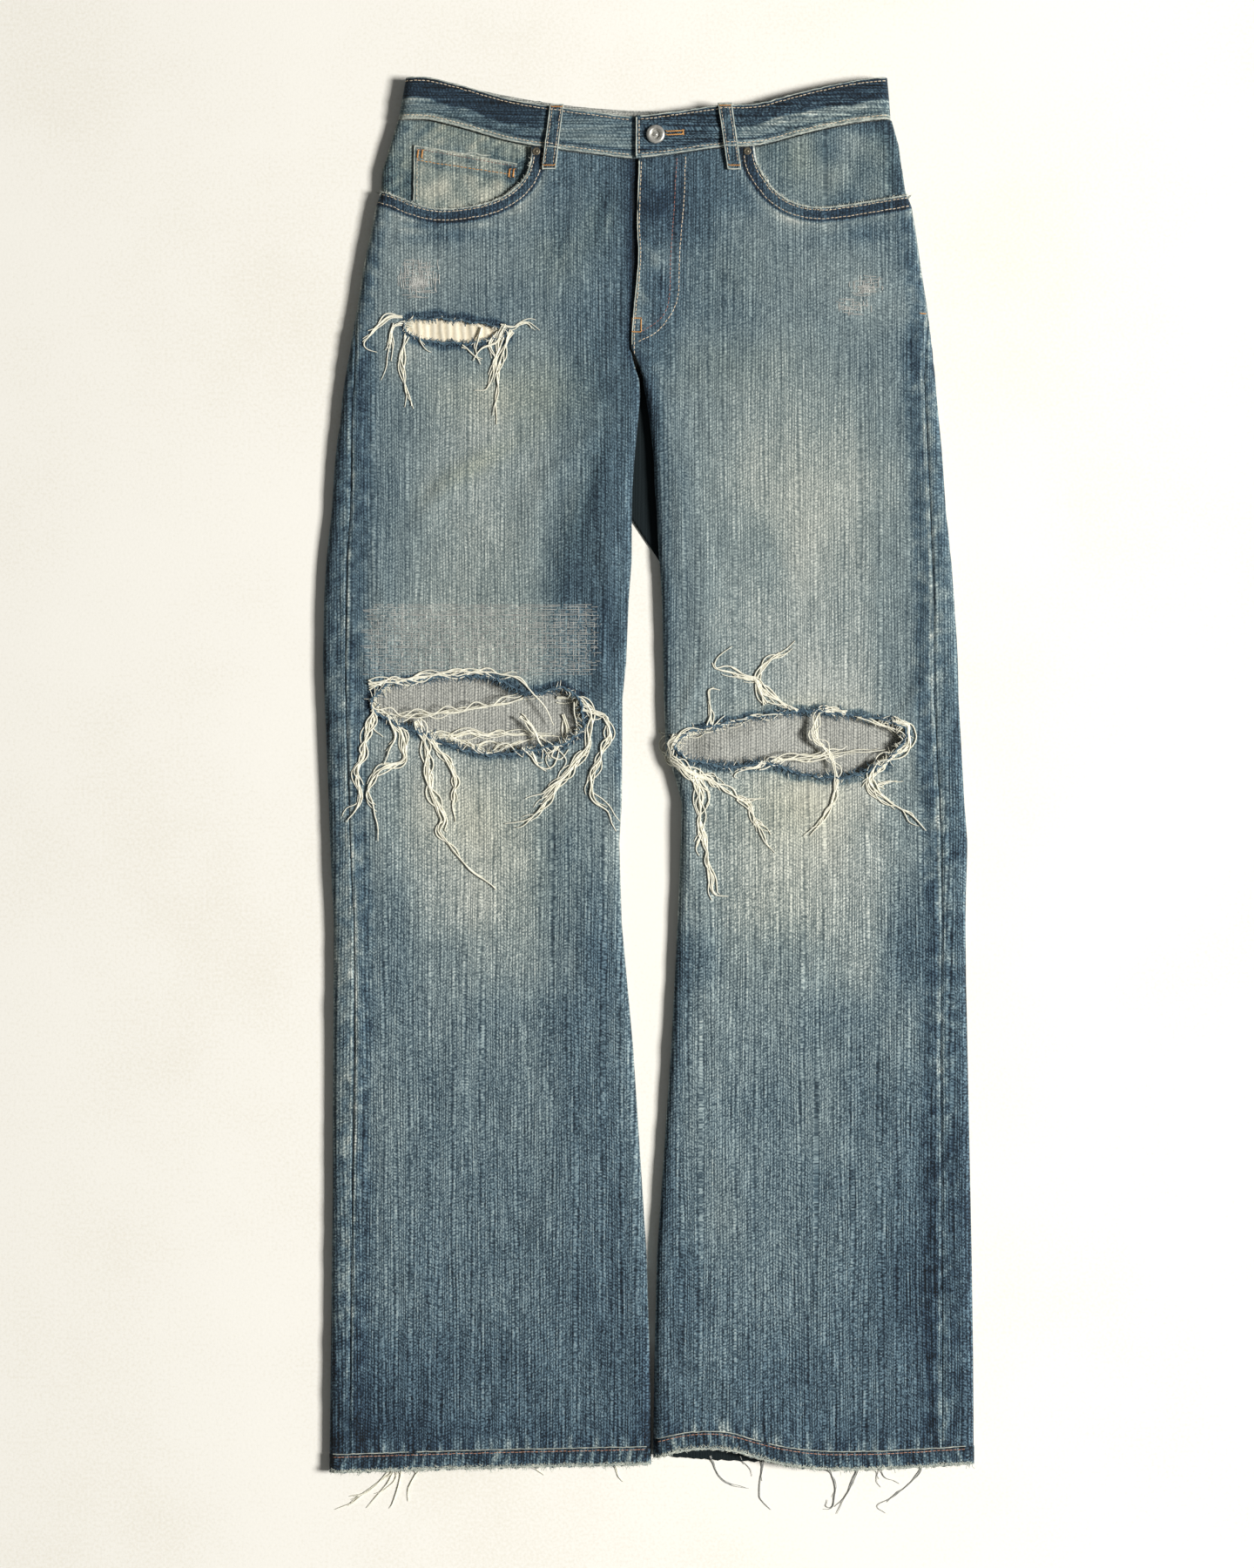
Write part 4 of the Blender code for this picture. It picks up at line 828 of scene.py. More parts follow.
def yarnFinish(name, dark, light, size=2.2, roughness=0.8):
    # sewing thread or loose yarn, a little uneven along its run
    n = Nodes(name)
    place = n.add("TexCoord").outputs["Object"]
    uneven = n.grainNoise(place, (size, size, size), detail=2)
    fine = n.grainNoise(place, (0.5, 0.5, 0.5), detail=1, seed=0.3)
    tone = n.sum(0.5, [(uneven, 1.3), (fine, 0.7)])
    colour = n.ramp(tone, [(0.1, dark), (0.9, light)])
    n.bump(fine, 0.5, 0.15)
    return n.done(colour, roughness)


def metalFinish(name, dark, light, roughness, size):
    n = Nodes(name)
    place = n.add("TexCoord").outputs["Object"]
    tarnish = n.grainNoise(place, (size, size, size), detail=4)
    scratch = n.grainNoise(place, (0.25, 2.5, 1.0), turn=35, detail=2, seed=0.2)
    colour = n.ramp(n.sum(0.5, [(tarnish, 1.2), (scratch, 0.5)]), [(0.15, dark), (0.8, light)])
    n.bump(scratch, 0.25, 0.08)
    return n.done(colour, roughness, metallic=0.7, specular=0.5)


denim, inside, lining = denimFinish(), insideFinish(), liningFinish()
ivoryYarn = yarnFinish("ivoryYarn", (210, 206, 182), (250, 248, 236))
indigoYarn = yarnFinish("indigoYarn", (24, 42, 60), (108, 134, 148), size=2.6)
paleYarn = yarnFinish("paleYarn", (128, 140, 138), (216, 218, 204), size=6)
tanStitch = yarnFinish("tanStitch", (178, 156, 128), (242, 228, 204), size=9)
orangeStitch = yarnFinish("orangeStitch", (168, 112, 62), (232, 178, 112), size=7)
maroonStitch = yarnFinish("maroonStitch", (100, 62, 64), (168, 126, 114), size=9)
pinkStitch = yarnFinish("pinkStitch", (150, 96, 76), (222, 176, 150), size=8)
greyStitch = yarnFinish("greyStitch", (124, 127, 126), (206, 206, 200), size=5)
steel = metalFinish("buttonSteel", (150, 148, 142), (232, 230, 222), 0.38, 3.0)
darkBrass = metalFinish("rivetBrass", (74, 68, 56), (138, 130, 112), 0.45, 2.0)
print("jeans: finishes ready")


# front and back panels
panel = {"frontColumns": 104, "backColumns": 100, "seamHalfGap": 0.03, "topFrom": 4.5, "topBy": 8.5}
mouthLook = {"snap": 1.25, "rim": 20, "turned": 12, "thick": 0.9, "pucker": 0.3}
tearLook = {"snap": 0.95, "rough": 1.5, "curl": {"knee": 1.6, "thigh": 1.0}, "curlReach": 3.5,
            "bruise": 9, "bruiseWander": 3}
# the drops of the rows, closer together at the pocket mouths and the tears
frontRows = np.unique(np.concatenate([
    np.arange(34.8, 130, 2.3), np.arange(130, 186, 3.0), np.arange(186, 222, 1.6), np.arange(222, 476, 4.0),
    np.arange(476, 570, 1.6), np.arange(570, 1104, 4.6), [1107.0]]))
backRows = np.append(np.arange(72.8, 1104, 4.4), 1107.0)


def onTop(height):
    # 1 on the upper side of a leg, 0 underneath
    return ease((height - panel["topFrom"]) / (panel["topBy"] - panel["topFrom"]))


def panelPlaces(leg, drops, columns, back=False):
    # across, drop, height, distance from the outseam and from the inner edge, for every row
    made = []
    for nominal in drops:
        front, frontEdge, under, underEdge = crossSection(leg, nominal, cloth["denim"])
        seam = seamLength(leg, nominal, front)
        if back:
            wrapped = np.stack(alongLine(front, np.linspace(max(seam - panel["seamHalfGap"], 0.05), 0, 14)))
            line = np.hstack([wrapped[:, :-1], under, underEdge])
            start = 0.0
        else:
            line, start = np.hstack([front, frontEdge]), seam + panel["seamHalfGap"]
        end = lengths(line)[-1]
        marks = np.linspace(start, end, columns + 1)
        across, height = alongLine(line, marks)
        bend = backDrop if back else frontDrop
        fromSeam = start - marks if back else marks - start  # behind the outseam it is negative
        made.append((across, bend(leg, nominal, across), height, fromSeam, end - marks))
    return stacked(made)


def snapToTears(leg, across, drop):
    # moves the grid's nearest points on to each outline, and says which lie in a hole
    gone = np.zeros(across.shape, bool)
    lips = []
    outlines = [("mouth", np.array(mouthArea(leg)), mouthLook["snap"])]
    for number, (label, outline) in enumerate(tears[leg["name"]].items()):
        outlines.append((label, ragged(outline, 7 * number + 3, tearLook["rough"]), tearLook["snap"]))
    for label, outline, reach in outlines:
        (x0, d0), (x1, d1) = outline.min(0) - 14, outline.max(0) + 14
        near = (across > x0) & (across < x1) & (drop > d0) & (drop < d1)
        far, nearest = distanceTo(outline, across[near], drop[near])
        onEdge = np.abs(far) < reach
        spots = np.stack([across[near], drop[near]], -1)
        spots[onEdge] = nearest[onEdge]
        across[near], drop[near] = spots[:, 0], spots[:, 1]
        gone[near] |= (far < 0) | onEdge
        whole = np.full(across.shape, 99.0)
        whole[near] = far
        lips.append((label, np.abs(whole), outline))
    return gone, lips


outlinesOf = {}
flyLook = {"width": 22, "foot": 246, "overlap": 0.9, "buttonDrops": (88, 118, 148, 178),
           "buttonAcross": 6, "buttonReach": 7, "buttonRise": 1.0}
patchBox = (-226, -41, 421, 486)  # the darned patch: across from and to, drop from and to


def frontPanel(leg):
    side = leg["name"]
    across, drop, height, fromSeam, fromEdge = panelPlaces(leg, frontRows, panel["frontColumns"])
    grainAcross, grainDrop = across.copy(), drop.copy()
    gone, lips = snapToTears(leg, across, drop)
    topness = onTop(height)
    height = height + topness * foldHeight(side, across, drop)
    height = height + topness * seamRelief(across, drop, fromSeam)
    fadeAndShade = chartFadeAndShade(leg, across, drop) + spotted(fadeAndShadeSpots[side], across, drop)
    stainAndShadeTint = np.clip(spotted(stainAndShadeSpots[side], across, drop), 0, 1)
    torn = np.zeros_like(across)
    for label, far, outline in lips:
        if label == "mouth":
            # the turned edge of the pocket mouth, with a groove below it
            rim = np.clip(1 - far / mouthLook["rim"], 0, 1)
            uneven = mouthLook["pucker"] * (far < mouthLook["turned"] - 1) * wobble(across, drop, 7, 12)
            height = height + mouthLook["thick"] * ease((mouthLook["turned"] - far) / 4) + uneven
        else:
            outlinesOf[side + label] = outline
            curl = tearLook["curl"][label] * np.exp(-far / tearLook["curlReach"])
            height = height + curl * (0.6 + 0.5 * wobble(across, drop, 11, 40))
            reach = tearLook["bruise"] + tearLook["bruiseWander"] * wobble(across, drop, 14, 41)
            torn = np.maximum(torn, np.clip(1 - far / reach, 0, 1))
    fly = flyLook
    onFly = ease((fly["foot"] - drop) / 14)
    if side == "Left":
        overlap = ease((fly["width"] - fromEdge) / 12) * onFly
        height = height + fly["overlap"] * overlap
        for at in fly["buttonDrops"]:
            knob = blob(across - fly["buttonAcross"], drop - at, fly["buttonReach"], fly["buttonReach"])
            height, fadeAndShade = height + fly["buttonRise"] * knob, fadeAndShade + 0.10 * knob
        fadeAndShade = fadeAndShade + overlap * 0.08 * wobble(across, drop, 10, 51)
    else:
        # painted shadow on the right front along its inner edge, where the fly's edge overlaps it
        fadeAndShade = fadeAndShade - 0.2 * ease((6 - fromEdge) / 6) * onFly
        left, right, top, bottom = patchBox
        darned = ease((across - left) / 6) * ease((right - across) / 6)
        darned = darned * ease((drop - top) / 5) * ease((bottom - drop) / 6)
        fadeAndShade, height = fadeAndShade + 0.05 * darned, height + 0.25 * darned * wobble(across * 0.3, drop, 3.0, 61)
    above = smoothLine(leg["hemFront"], across) - drop - 13
    hemmed = hump(np.clip(above - 2, 0, None), 0, 9)
    piece = clothSheet("front" + side, across, drop, height, (grainAcross, grainDrop), fadeAndShade, stainAndShadeTint,
                       [denim, inside], cloth["denim"], seams=(fromSeam, fromEdge), gone=gone,
                       marks=(("rim", rim), ("torn", torn), ("hemmed", hemmed)))
    return dress(piece, "front_" + side.lower())


kneeBag = {"drop": 525, "reach": 46, "rise": 2.6, "uneven": 0.9, "crease": 1.8}


def backPanel(leg):
    side = leg["name"]
    across, drop, height, fromSeam, fromEdge = panelPlaces(leg, backRows, panel["backColumns"], back=True)
    topness = onTop(height)
    wave = 0.35 * wobble(across, drop, 40, 71)
    height = height + topness * (foldHeight(side, across, drop) + seamRelief(across, drop, fromSeam))
    outer = np.interp(drop, *np.array(leg["outline"], float).T[:2])
    inward = np.abs(across - outer)
    # the back of the leg creases upwards behind the knee
    low = (1 - topness) * ease((inward - 26) / 20) * ease((fromEdge - 20) / 20)
    bag = hump(drop, kneeBag["drop"], kneeBag["reach"])
    height = height + low * bag * (kneeBag["rise"] + kneeBag["uneven"] * wobble(across * 0.5, drop, 24, 72))
    if side == "Left":
        crease = hump(drop - 546 + 0.42 * (across - 40), 0, 4) * ease((across - 30) / 20)
        crease = crease * ease((112 - across) / 12)
        crease = crease + 0.8 * hump(drop - 548 + 0.1 * (across - 150), 0, 4) * (across > 60)
    else:
        crease = 0.6 * hump(drop - 512 - 0.1 * (across + 130), 0, 5)
    height = height + low * bag * kneeBag["crease"] * crease + low * np.maximum(wave, 0) * 0.6
    fadeAndShade = chartFadeAndShade(leg, across, drop)
    fadeAndShade = np.where(topness > 0.5, fadeAndShade, fadeAndShade * 0.8 + 0.06) + 0.04 * wobble(across, drop, 30, 73)
    fadeAndShade = fadeAndShade - 0.06 * topness
    # painted shade on the inside of the back where it shows between the legs at the crotch; the inside
    # finish darkens with it
    webShade = (1 - topness) * ease((70 - fromEdge) / 20) * ease((drop - 225) / 10) * ease((400 - drop) / 10)
    piece = clothSheet("back" + side, across, drop, height, (across + 400, drop), fadeAndShade, 0.1 * topness,
                       [denim, inside], cloth["denim"], seams=(fromSeam, fromEdge), outside="down",
                       marks=(("shade", webShade),))
    return dress(piece, "back_" + side.lower())


fronts = {leg["name"]: frontPanel(leg) for leg in legs}
backs = {leg["name"]: backPanel(leg) for leg in legs}
print("jeans: legs cut")


# hems
hemLook = {"columns": 420, "rows": 9, "pucker": 7.7, "rise": 0.5, "puckerFade": 0.42, "edgeFade": 0.56}


def hemRing(leg):
    side, look = leg["name"], hemLook
    front, frontEdge, under, underEdge = crossSection(leg, cloth["lastDrop"], cloth["hem"], rise=0.8)
    over, below = np.hstack([front, frontEdge]), np.hstack([under, underEdge])
    girth = np.hstack([over[:, ::-1], below[:, 1:]])
    girth = np.hstack([girth, girth[:, :1]])
    run = lengths(girth)[-1]
    marks = np.linspace(0, run, look["columns"] + 1)
    across, height = alongLine(girth, marks)
    low, high = height.min(), height.max()
    share = ease((height - low) / (high - low))
    hemLine = smoothLine(leg["hemBack"], across) * (1 - share) + smoothLine(leg["hemFront"], across) * share
    up = np.linspace(cloth["hemDepth"], 0, look["rows"] + 1)[:, None]
    ring = np.broadcast_to(across, (len(up), len(across)))
    phase = (marks[None, :] + up * 0.3 + 5 * wobble(marks, 0, 30, 81)[None, :]) / look["pucker"]
    pucker = hump(phase % 1, 0.5, 0.2) * (0.7 + 0.3 * wobble(marks, 0, 17, 82)[None, :])
    drop = hemLine - up + (up < 1) * 0.8 * wobble(marks, 0, 6, 83)[None, :]
    tall = height[None, :] + look["rise"] * pucker * share[None, :]
    fadeAndShade = 0.2 + look["puckerFade"] * pucker + look["edgeFade"] * hump(up, 0, 2.2) - 0.1 * hump(up, 13, 2)
    fadeAndShade = fadeAndShade - 0.10 * (across < -190)[None, :] + 0.1 * wobble(ring, drop, 16, 84)
    # painted shade over the ring's whole inside, which shows dark under the lifted front hem
    piece = clothSheet("hem" + side, ring, drop, tall, (marks, drop), fadeAndShade, 0.25, [denim, inside],
                       cloth["hem"], seams=(99.0, up + 99), closed=True, outside="ring",
                       marks=(("shade", 1.0),))
    return dress(piece, "hem_" + side.lower())


hems = {leg["name"]: hemRing(leg) for leg in legs}


# waistband: one strip from under the button, round the back, to the overlapping end
band = {"topMiddle": 13.7, "overlapMiddle": 15.0, "overlapEnd": -10.5, "underlapEnd": 22.0, "columns": 300,
        "rows": 34, "sideEdges": [(0.0, -195.7, 192.0), (0.5, -198.5, 193.5), (1.0, -201.5, 195.0)]}
# across, then how faded the band is at its top, upper middle, lower middle and bottom
bandFade = [
    (-200, .14, .17, .56, .66), (-165, .12, .15, .50, .64), (-125, .12, .15, .40, .56),
    (-92, .16, .22, .42, .52), (-78, .44, .50, .54, .52), (-40, .46, .56, .62, .50),
    (-13, .42, .50, .56, .46), (-8, .32, .28, .30, .36), (20, .24, .22, .28, .36),
    (50, .24, .26, .34, .40), (72, .26, .30, .52, .50), (96, .18, .26, .58, .52),
    (130, .14, .22, .60, .58), (165, .12, .20, .62, .64), (195, .12, .16, .56, .62),
]


def bandPath(leftEdge, rightEdge):
    half = cloth["band"] / 2 + 0.1
    bottom, top = cloth["seatLift"] + half, band["topMiddle"]

    def turn(edge, outward, angles):
        a = np.radians(angles)
        across = edge - outward * cloth["outerFold"] + outward * (cloth["outerFold"] - half) * np.sin(a)
        return np.stack([across, (top + bottom) / 2 + (top - bottom) / 2 * np.cos(a)])

    under = np.array([(band["underlapEnd"], 12.2), (-12, 12.2), (-22, 12.4), (-48, top)]).T
    over = np.array([(52, top), (32, 14.2), (14, band["overlapMiddle"]),
                     (band["overlapEnd"], band["overlapMiddle"])]).T
    angles = np.arange(0, 181, 9)
    return np.hstack([under, turn(leftEdge, -1, angles), turn(rightEdge, 1, angles[::-1]), over])


def waistband():
    shares = np.linspace(0, 1, band["rows"] + 1)
    made = []
    for share in shares:
        path = bandPath(column(band["sideEdges"], share, 1), column(band["sideEdges"], share, 2))
        marks = np.linspace(0, lengths(path)[-1], band["columns"] + 1)
        across, height = alongLine(path, marks)
        front = ease((height - 2.6) / 9.4)
        waist = smoothLine(backWaist, across) * (1 - front) + smoothLine(frontWaist, across) * front
        made.append((across, waist + share * cloth["bandHeight"], height, marks))
    across, drop, height, marks = stacked(made)
    share = shares[:, None] + 0 * across
    top = height > 8
    quilt = 0.35 * wobble(across * 0.5 + drop * 0.3, drop * 0.3, 8, 91) * np.sin(share * math.pi) ** 0.5
    fold = 0.5 * hump(share, 0.56, 0.06) - 0.45 * hump(share, 0.82, 0.03)
    height = height + top * (quilt + 0.25 * np.sin(share * math.pi) + fold * (np.abs(across) > 50))
    table = np.array(bandFade)
    wavy = np.clip(share + 0.05 * wobble(across, 0, 22, 92) * np.sin(share * math.pi), 0, 1)
    levels = [np.interp(across, table[:, 0], table[:, k]) for k in (1, 2, 3, 4)]
    fadeAndShade = levels[0]
    for (first, second), low, high in zip(((0.05, 0.4), (0.5, 0.58), (0.74, 0.86)), levels, levels[1:]):
        fadeAndShade = fadeAndShade + (high - low) * ease((wavy - first) / (second - first))
    beads = 0.5 + 0.7 * wobble(across, 0, 16, 94)
    scuff = hump(wavy, 0.555, 0.035) + 0.5 * hump(wavy, 0.66, 0.03)
    onTop = 0.34 * scuff * beads * (np.abs(across) > 60) + 0.05 * wobble(across * 0.4, drop * 2.4, 7, 96)
    fadeAndShade = np.where(top, fadeAndShade + onTop, 0.34 + 0.06 * wobble(across, drop, 20, 95))
    fadeAndShade = fadeAndShade - 0.30 * hump(share, 0.815, 0.022) - 0.12 * hump(share, 0.1, 0.03)
    fadeAndShade = fadeAndShade + 0.16 * ease((share - 0.88) / 0.05) + 0.3 * ease((0.035 - share) / 0.03)
    stainAndShadeTint = 0.25 * top + 0.4 * ease((share - 0.6) / 0.3) * (np.abs(across) > 110)
    piece = clothSheet("bandCloth", across, drop, height, (drop, marks), fadeAndShade, stainAndShadeTint, [denim, inside],
                       cloth["band"], outside="ring")
    rim = piece.modifiers.new("Soft edge", "BEVEL")
    rim.width, rim.segments, rim.limit_method, rim.angle_limit = 0.5 * mm, 2, "ANGLE", math.radians(50)
    return dress(piece, "waistband")


bandPiece = waistband()


# pieces under the front: facings, coin pocket, lining, fly underlap
def frontTop(leg, nominal, across):
    # height of the front's outer surface on its flat part, without the folds
    outer = column(leg["outline"], nominal, 1)
    width = abs(column(leg["outline"], nominal, 2) - outer)
    end = width - max(column(leg["form"], nominal, 6), cloth["edgeRun"])
    share = (np.abs(across - outer) - cloth["outerFold"]) / (end - cloth["outerFold"])
    return bowed(*(column(leg["form"], nominal, k) for k in (1, 2, 3)), share)


def nominalDrop(leg, across, drop):
    low, high = 14.0, 350.0
    for _ in range(24):
        middle = (low + high) / 2
        if float(frontDrop(leg, middle, np.array(across))) < drop:
            low = middle
        else:
            high = middle
    return low


facingLook = {"top": 34.4, "foot": 128, "rows": 44, "reach": 138, "fadeAndShade": 0.64}


def facing(leg, depth):
    side, look = leg["name"], facingLook
    made = []
    for nominal in np.linspace(look["top"], look["foot"], look["rows"]):
        front = crossSection(leg, nominal, cloth["denim"], inset=depth)[0]
        outerFront = crossSection(leg, nominal, cloth["denim"], inset=0.15)[0]
        marks = np.concatenate([np.linspace(0.4, 14, 12), np.linspace(16, look["reach"], 54)])
        near = ease(1 - marks / 13)
        pairs = zip(alongLine(front, marks), alongLine(outerFront, marks))
        across, height = [a * (1 - near) + b * near for a, b in pairs]
        made.append((across, frontDrop(leg, nominal, across), height, marks))
    across, drop, height, marks = stacked(made)
    height = height + foldHeight(side, across, drop) * 0.8 - 0.1
    fadeAndShade = look["fadeAndShade"] + 0.08 * wobble(across, drop, 30, 101)
    if side == "Left":
        fadeAndShade = fadeAndShade - 0.03 - 0.06 * ease((across - 140) / 40) - 0.12 * ease((50 - drop) / 12)
        fadeAndShade = fadeAndShade - 0.05 * ease((drop - 90) / 14)
    else:
        fadeAndShade = fadeAndShade + 0.1 * blob(across + 150, drop - 52, 50, 8)
        fadeAndShade = fadeAndShade + 0.08 * wobble(across + drop, drop * 2, 14, 103)
        # painted shadow in the gap along the coin pocket's right edge
        fadeAndShade = fadeAndShade - 0.25 * hump(across, -100, 10) * ease((drop - 60) / 10)
        fadeAndShade = fadeAndShade - 0.2 * hump(across, -192, 5) * ease((drop - 70) / 10)
    stainAndShadeTint = (0.9 if side == "Right" else 0.4) + 0.3 * wobble(across, drop, 40, 102)
    fadeAndShade = fadeAndShade - 0.16 * ease((14 - marks) / 8) + 0.3 * ease((2.4 - marks) / 1.5)
    piece = clothSheet("pocketFacing" + side, across, drop, height, (across, drop), fadeAndShade,
                       np.clip(stainAndShadeTint, 0, 1), [denim], cloth["lining"])
    return dress(piece, "pocket_facing_" + side.lower())


def underPatch(look, wall):
    # a patch behind the wearer's right front, between two edges of (across, drop)
    depth = cloth["denim"] + cloth["seamGap"] + wall / 2
    share = np.linspace(0, 1, look["rows"] + 1)
    over = np.linspace(0, 1, look["columns"] + 1)[None, :]
    marks = np.linspace(0, 1, len(look["left"]))
    left, right = ([np.interp(share, marks, line)[:, None] for line in zip(*look[edge])]
                   for edge in ("left", "right"))
    across, drop = (a * (1 - over) + b * over for a, b in zip(left, right))
    height = np.zeros_like(across)
    middle = across.shape[1] // 2
    for i in range(len(share)):
        nominal = nominalDrop(rightLeg, across[i, middle], drop[i, middle])
        height[i] = frontTop(rightLeg, nominal, across[i]) - depth
    return across, drop, height


coinLook = {
    "left": [(-188.5, 54.5), (-189, 75), (-189.5, 96), (-190, 117)],
    "right": [(-105.5, 69.5), (-108, 84), (-111, 100), (-114, 118)],
    "columns": 44, "rows": 34,
}


def coinPocket():
    across, drop, height = underPatch(coinLook, cloth["coin"])
    height = height + foldHeight("Right", across, drop) * 0.8 + 0.05
    share = (across - across[:, :1]) / (across[:, -1:] - across[:, :1])
    fadeAndShade = 0.82 + 0.1 * wobble(across, drop, 18, 111) - 0.14 * hump(share, 0.03, 0.02)
    down = drop - drop[:1]
    # the darkening of the pocket's right part is painted shadow along its edge
    fadeAndShade = fadeAndShade - 0.2 * hump(down, 13, 3) - 0.2 * ease((share - 0.84) / 0.1)
    # painted shade in uneven lumps under the top hem
    underEdge = 0.18 + 0.14 * wobble(across, drop * 0.3, 9, 113)
    fadeAndShade = fadeAndShade - underEdge * hump(down, 5, 3) + 0.14 * hump(down, 0, 1.6)
    piece = clothSheet("coinPocket", across, drop, height, (across + 60, drop), fadeAndShade, 0.8,
                       [denim], cloth["coin"])
    return dress(piece, "coin_pocket")


bagLook = {
    "left": [(-200, 128.5), (-205, 165), (-208, 200), (-205, 232), (-190, 252)],
    "right": [(-95, 128.5), (-92, 165), (-92, 200), (-100, 232), (-122, 252)],
    "columns": 60, "rows": 60,
}


def pocketBag():
    across, drop, height = underPatch(bagLook, cloth["lining"])
    height = height + foldHeight("Right", across, drop) * 0.7 - 0.6
    height = height + 0.5 * wobble(across, drop * 0.3, 12, 121)
    piece = clothSheet("pocketBag", across, drop, height, (across, drop), 0.5, 0.0, [lining],
                       cloth["lining"], seams=None)
    return dress(piece, "pocket_bag_right")


underlapLook = {"right": -26, "left": 24, "foot": 196, "rows": 40, "columns": 18}


def flyUnderlap():
    look = underlapLook
    rows = np.linspace(0, 1, look["rows"])[:, None]
    across = np.linspace(look["right"], look["left"], look["columns"])[None, :] + 0 * rows
    upper = smoothLine(frontWaist, across) + cloth["bandHeight"] + cloth["edgeGap"]
    drop = upper + (look["foot"] - upper) * rows
    height = np.zeros_like(across)
    for i in range(len(rows)):
        nominal = nominalDrop(rightLeg, -12, float(drop[i, 5]))
        height[i] = column(rightLeg["form"], nominal, 3) - cloth["denim"] - cloth["seamGap"] - 0.6
    piece = clothSheet("flyUnderlap", across, drop, height, (across, drop), 0.3, 0.1,
                       [denim], cloth["lining"])
    return dress(piece, "fly_underlap")


coinDepth = cloth["denim"] / 2 + cloth["seamGap"] + cloth["coin"] + cloth["seamGap"] + cloth["lining"] / 2
plainDepth = cloth["denim"] / 2 + cloth["edgeGap"] + cloth["lining"] / 2 + 0.2
facings = [facing(rightLeg, coinDepth), facing(leftLeg, plainDepth)]
coin, bag, underlap = coinPocket(), pocketBag(), flyUnderlap()


# pieces of the seat: yokes, back pockets, belt loops
def yoke(leg):
    side = leg["name"]
    made = []
    start = cloth["bandHeight"] + cloth["edgeGap"]
    for share in np.linspace(0, 1, yokeLook["rows"]):
        nominal = start + share * (bends["yokeSeam"] - start)
        under, underEdge = crossSection(leg, nominal, cloth["denim"])[2:]
        line = np.hstack([under, underEdge])
        marks = np.linspace(1.0, lengths(line)[-1], yokeLook["columns"])
        across, height = alongLine(line, marks)
        # close under the band, so that no light comes between them
        upper = smoothLine(backWaist, across) + cloth["bandHeight"] + cloth["edgeGap"] / 4
        made.append((across, upper * (1 - share) + (yokeDrop(across) - 0.4) * share, height, marks))
    across, drop, height, marks = stacked(made)
    fadeAndShade = 0.42 + 0.05 * wobble(across, drop, 30, 131)
    piece = clothSheet("yoke" + side, across, drop, height, (across, drop), fadeAndShade, 0.1, [denim, inside],
                       cloth["denim"], outside="down")
    return dress(piece, "yoke_" + side.lower())


backPocketLook = {
    "near": 34, "width": 138, "taper": 8, "straightTo": 0.87, "top": 128, "slant": 10,
    "foot": 244, "point": 18, "middle": 104, "halfFoot": 70,
}


def backPocket(leg):
    side, look = leg["name"], backPocketLook
    share, over = np.linspace(0, 1, 44)[:, None], np.linspace(0, 1, 40)[None, :]
    taper = look["taper"] * np.minimum(1.0, share / look["straightTo"])
    across = look["near"] + taper + (look["width"] - 2 * taper) * over
    upper = look["top"] + look["slant"] * (across - look["near"]) / look["width"]
    lower = look["foot"] + look["point"] * (1 - np.abs(across - look["middle"]) / look["halfFoot"])
    drop = upper + (lower - upper) * share
    edge = np.minimum(np.minimum(over, 1 - over) * 130, np.minimum(share, 1 - share) * 125)
    fadeAndShade = 0.5 + 0.16 * blob(over - 0.5, share - 0.5, 0.3, 0.3) - 0.2 * (np.abs(edge - 6) < 3)
    height = np.full(drop.shape, cloth["patch"] / 2)
    piece = clothSheet("backPocket" + side, leg["outward"] * across, drop, height, (across + 90, drop), fadeAndShade,
                       0.1, [denim], cloth["patch"], seams=(99.0, edge), outside="down")
    return dress(piece, "back_pocket_" + side.lower())


loopLook = {"width": 11.0, "wall": 1.5}
frontLoops = {"Right": (-74.0, 22.5, -80.3, 75.0), "Left": (61.0, 21.5, 68.5, 75.0)}
backLoops = {"Right": (-92.0, 17.0, -93.0, 70.0), "Centre": (2.0, 25.0, 1.0, 78.0),
             "Left": (92.0, 17.0, 93.0, 70.0)}


def beltLoop(place, side, ends):
    # ends: across and drop of its top, then of its foot
    x0, d0, x1, d1 = ends
    onFront = place == "Front"
    share, over = np.linspace(0, 1, 44)[:, None], np.linspace(-0.5, 0.5, 13)[None, :]
    across = x0 + (x1 - x0) * share + loopLook["width"] * over
    drop = d0 + (d1 - d0) * share + 0 * over
    if onFront:
        height = 15.9 - 0.5 * ease((share - 0.62) / 0.3) + 0.9 * np.sin(share * math.pi) ** 0.6
        height = height + 0.5 * (1 - (2 * over) ** 4) + 0.25 * wobble(across, drop, 9, 141)
        height = height - 0.5 * hump(share, 0.05, 0.03) - 0.5 * hump(share, 0.95, 0.03)
    else:
        height = np.full(across.shape, cloth["patch"] / 2)
    edge = loopLook["width"] * (0.5 - np.abs(over))
    fadeAndShade = 0.36 + 0.1 * wobble(across, drop, 8, 142) + 0.3 * hump(edge, 0, 1.2)
    fadeAndShade = fadeAndShade - 0.1 * hump(edge, 2.6, 0.8)
    fadeAndShade = fadeAndShade + 0.2 * hump(share, 0.985, 0.02) + 0.2 * hump(share, 0.015, 0.02)
    piece = clothSheet("beltLoop" + place + side, across, drop, height, (across, drop), fadeAndShade, 0.35, [denim],
                       loopLook["wall"] if onFront else cloth["patch"],
                       outside="up" if onFront else "down")
    return dress(piece, "belt_loop_" + place.lower() + "_" + side.lower())


seat = [yoke(leg) for leg in legs] + [backPocket(leg) for leg in legs]
loops = [beltLoop(place, side, ends) for place, table in (("Front", frontLoops), ("Back", backLoops))
         for side, ends in table.items()]
print("jeans: band, pockets and loops made")


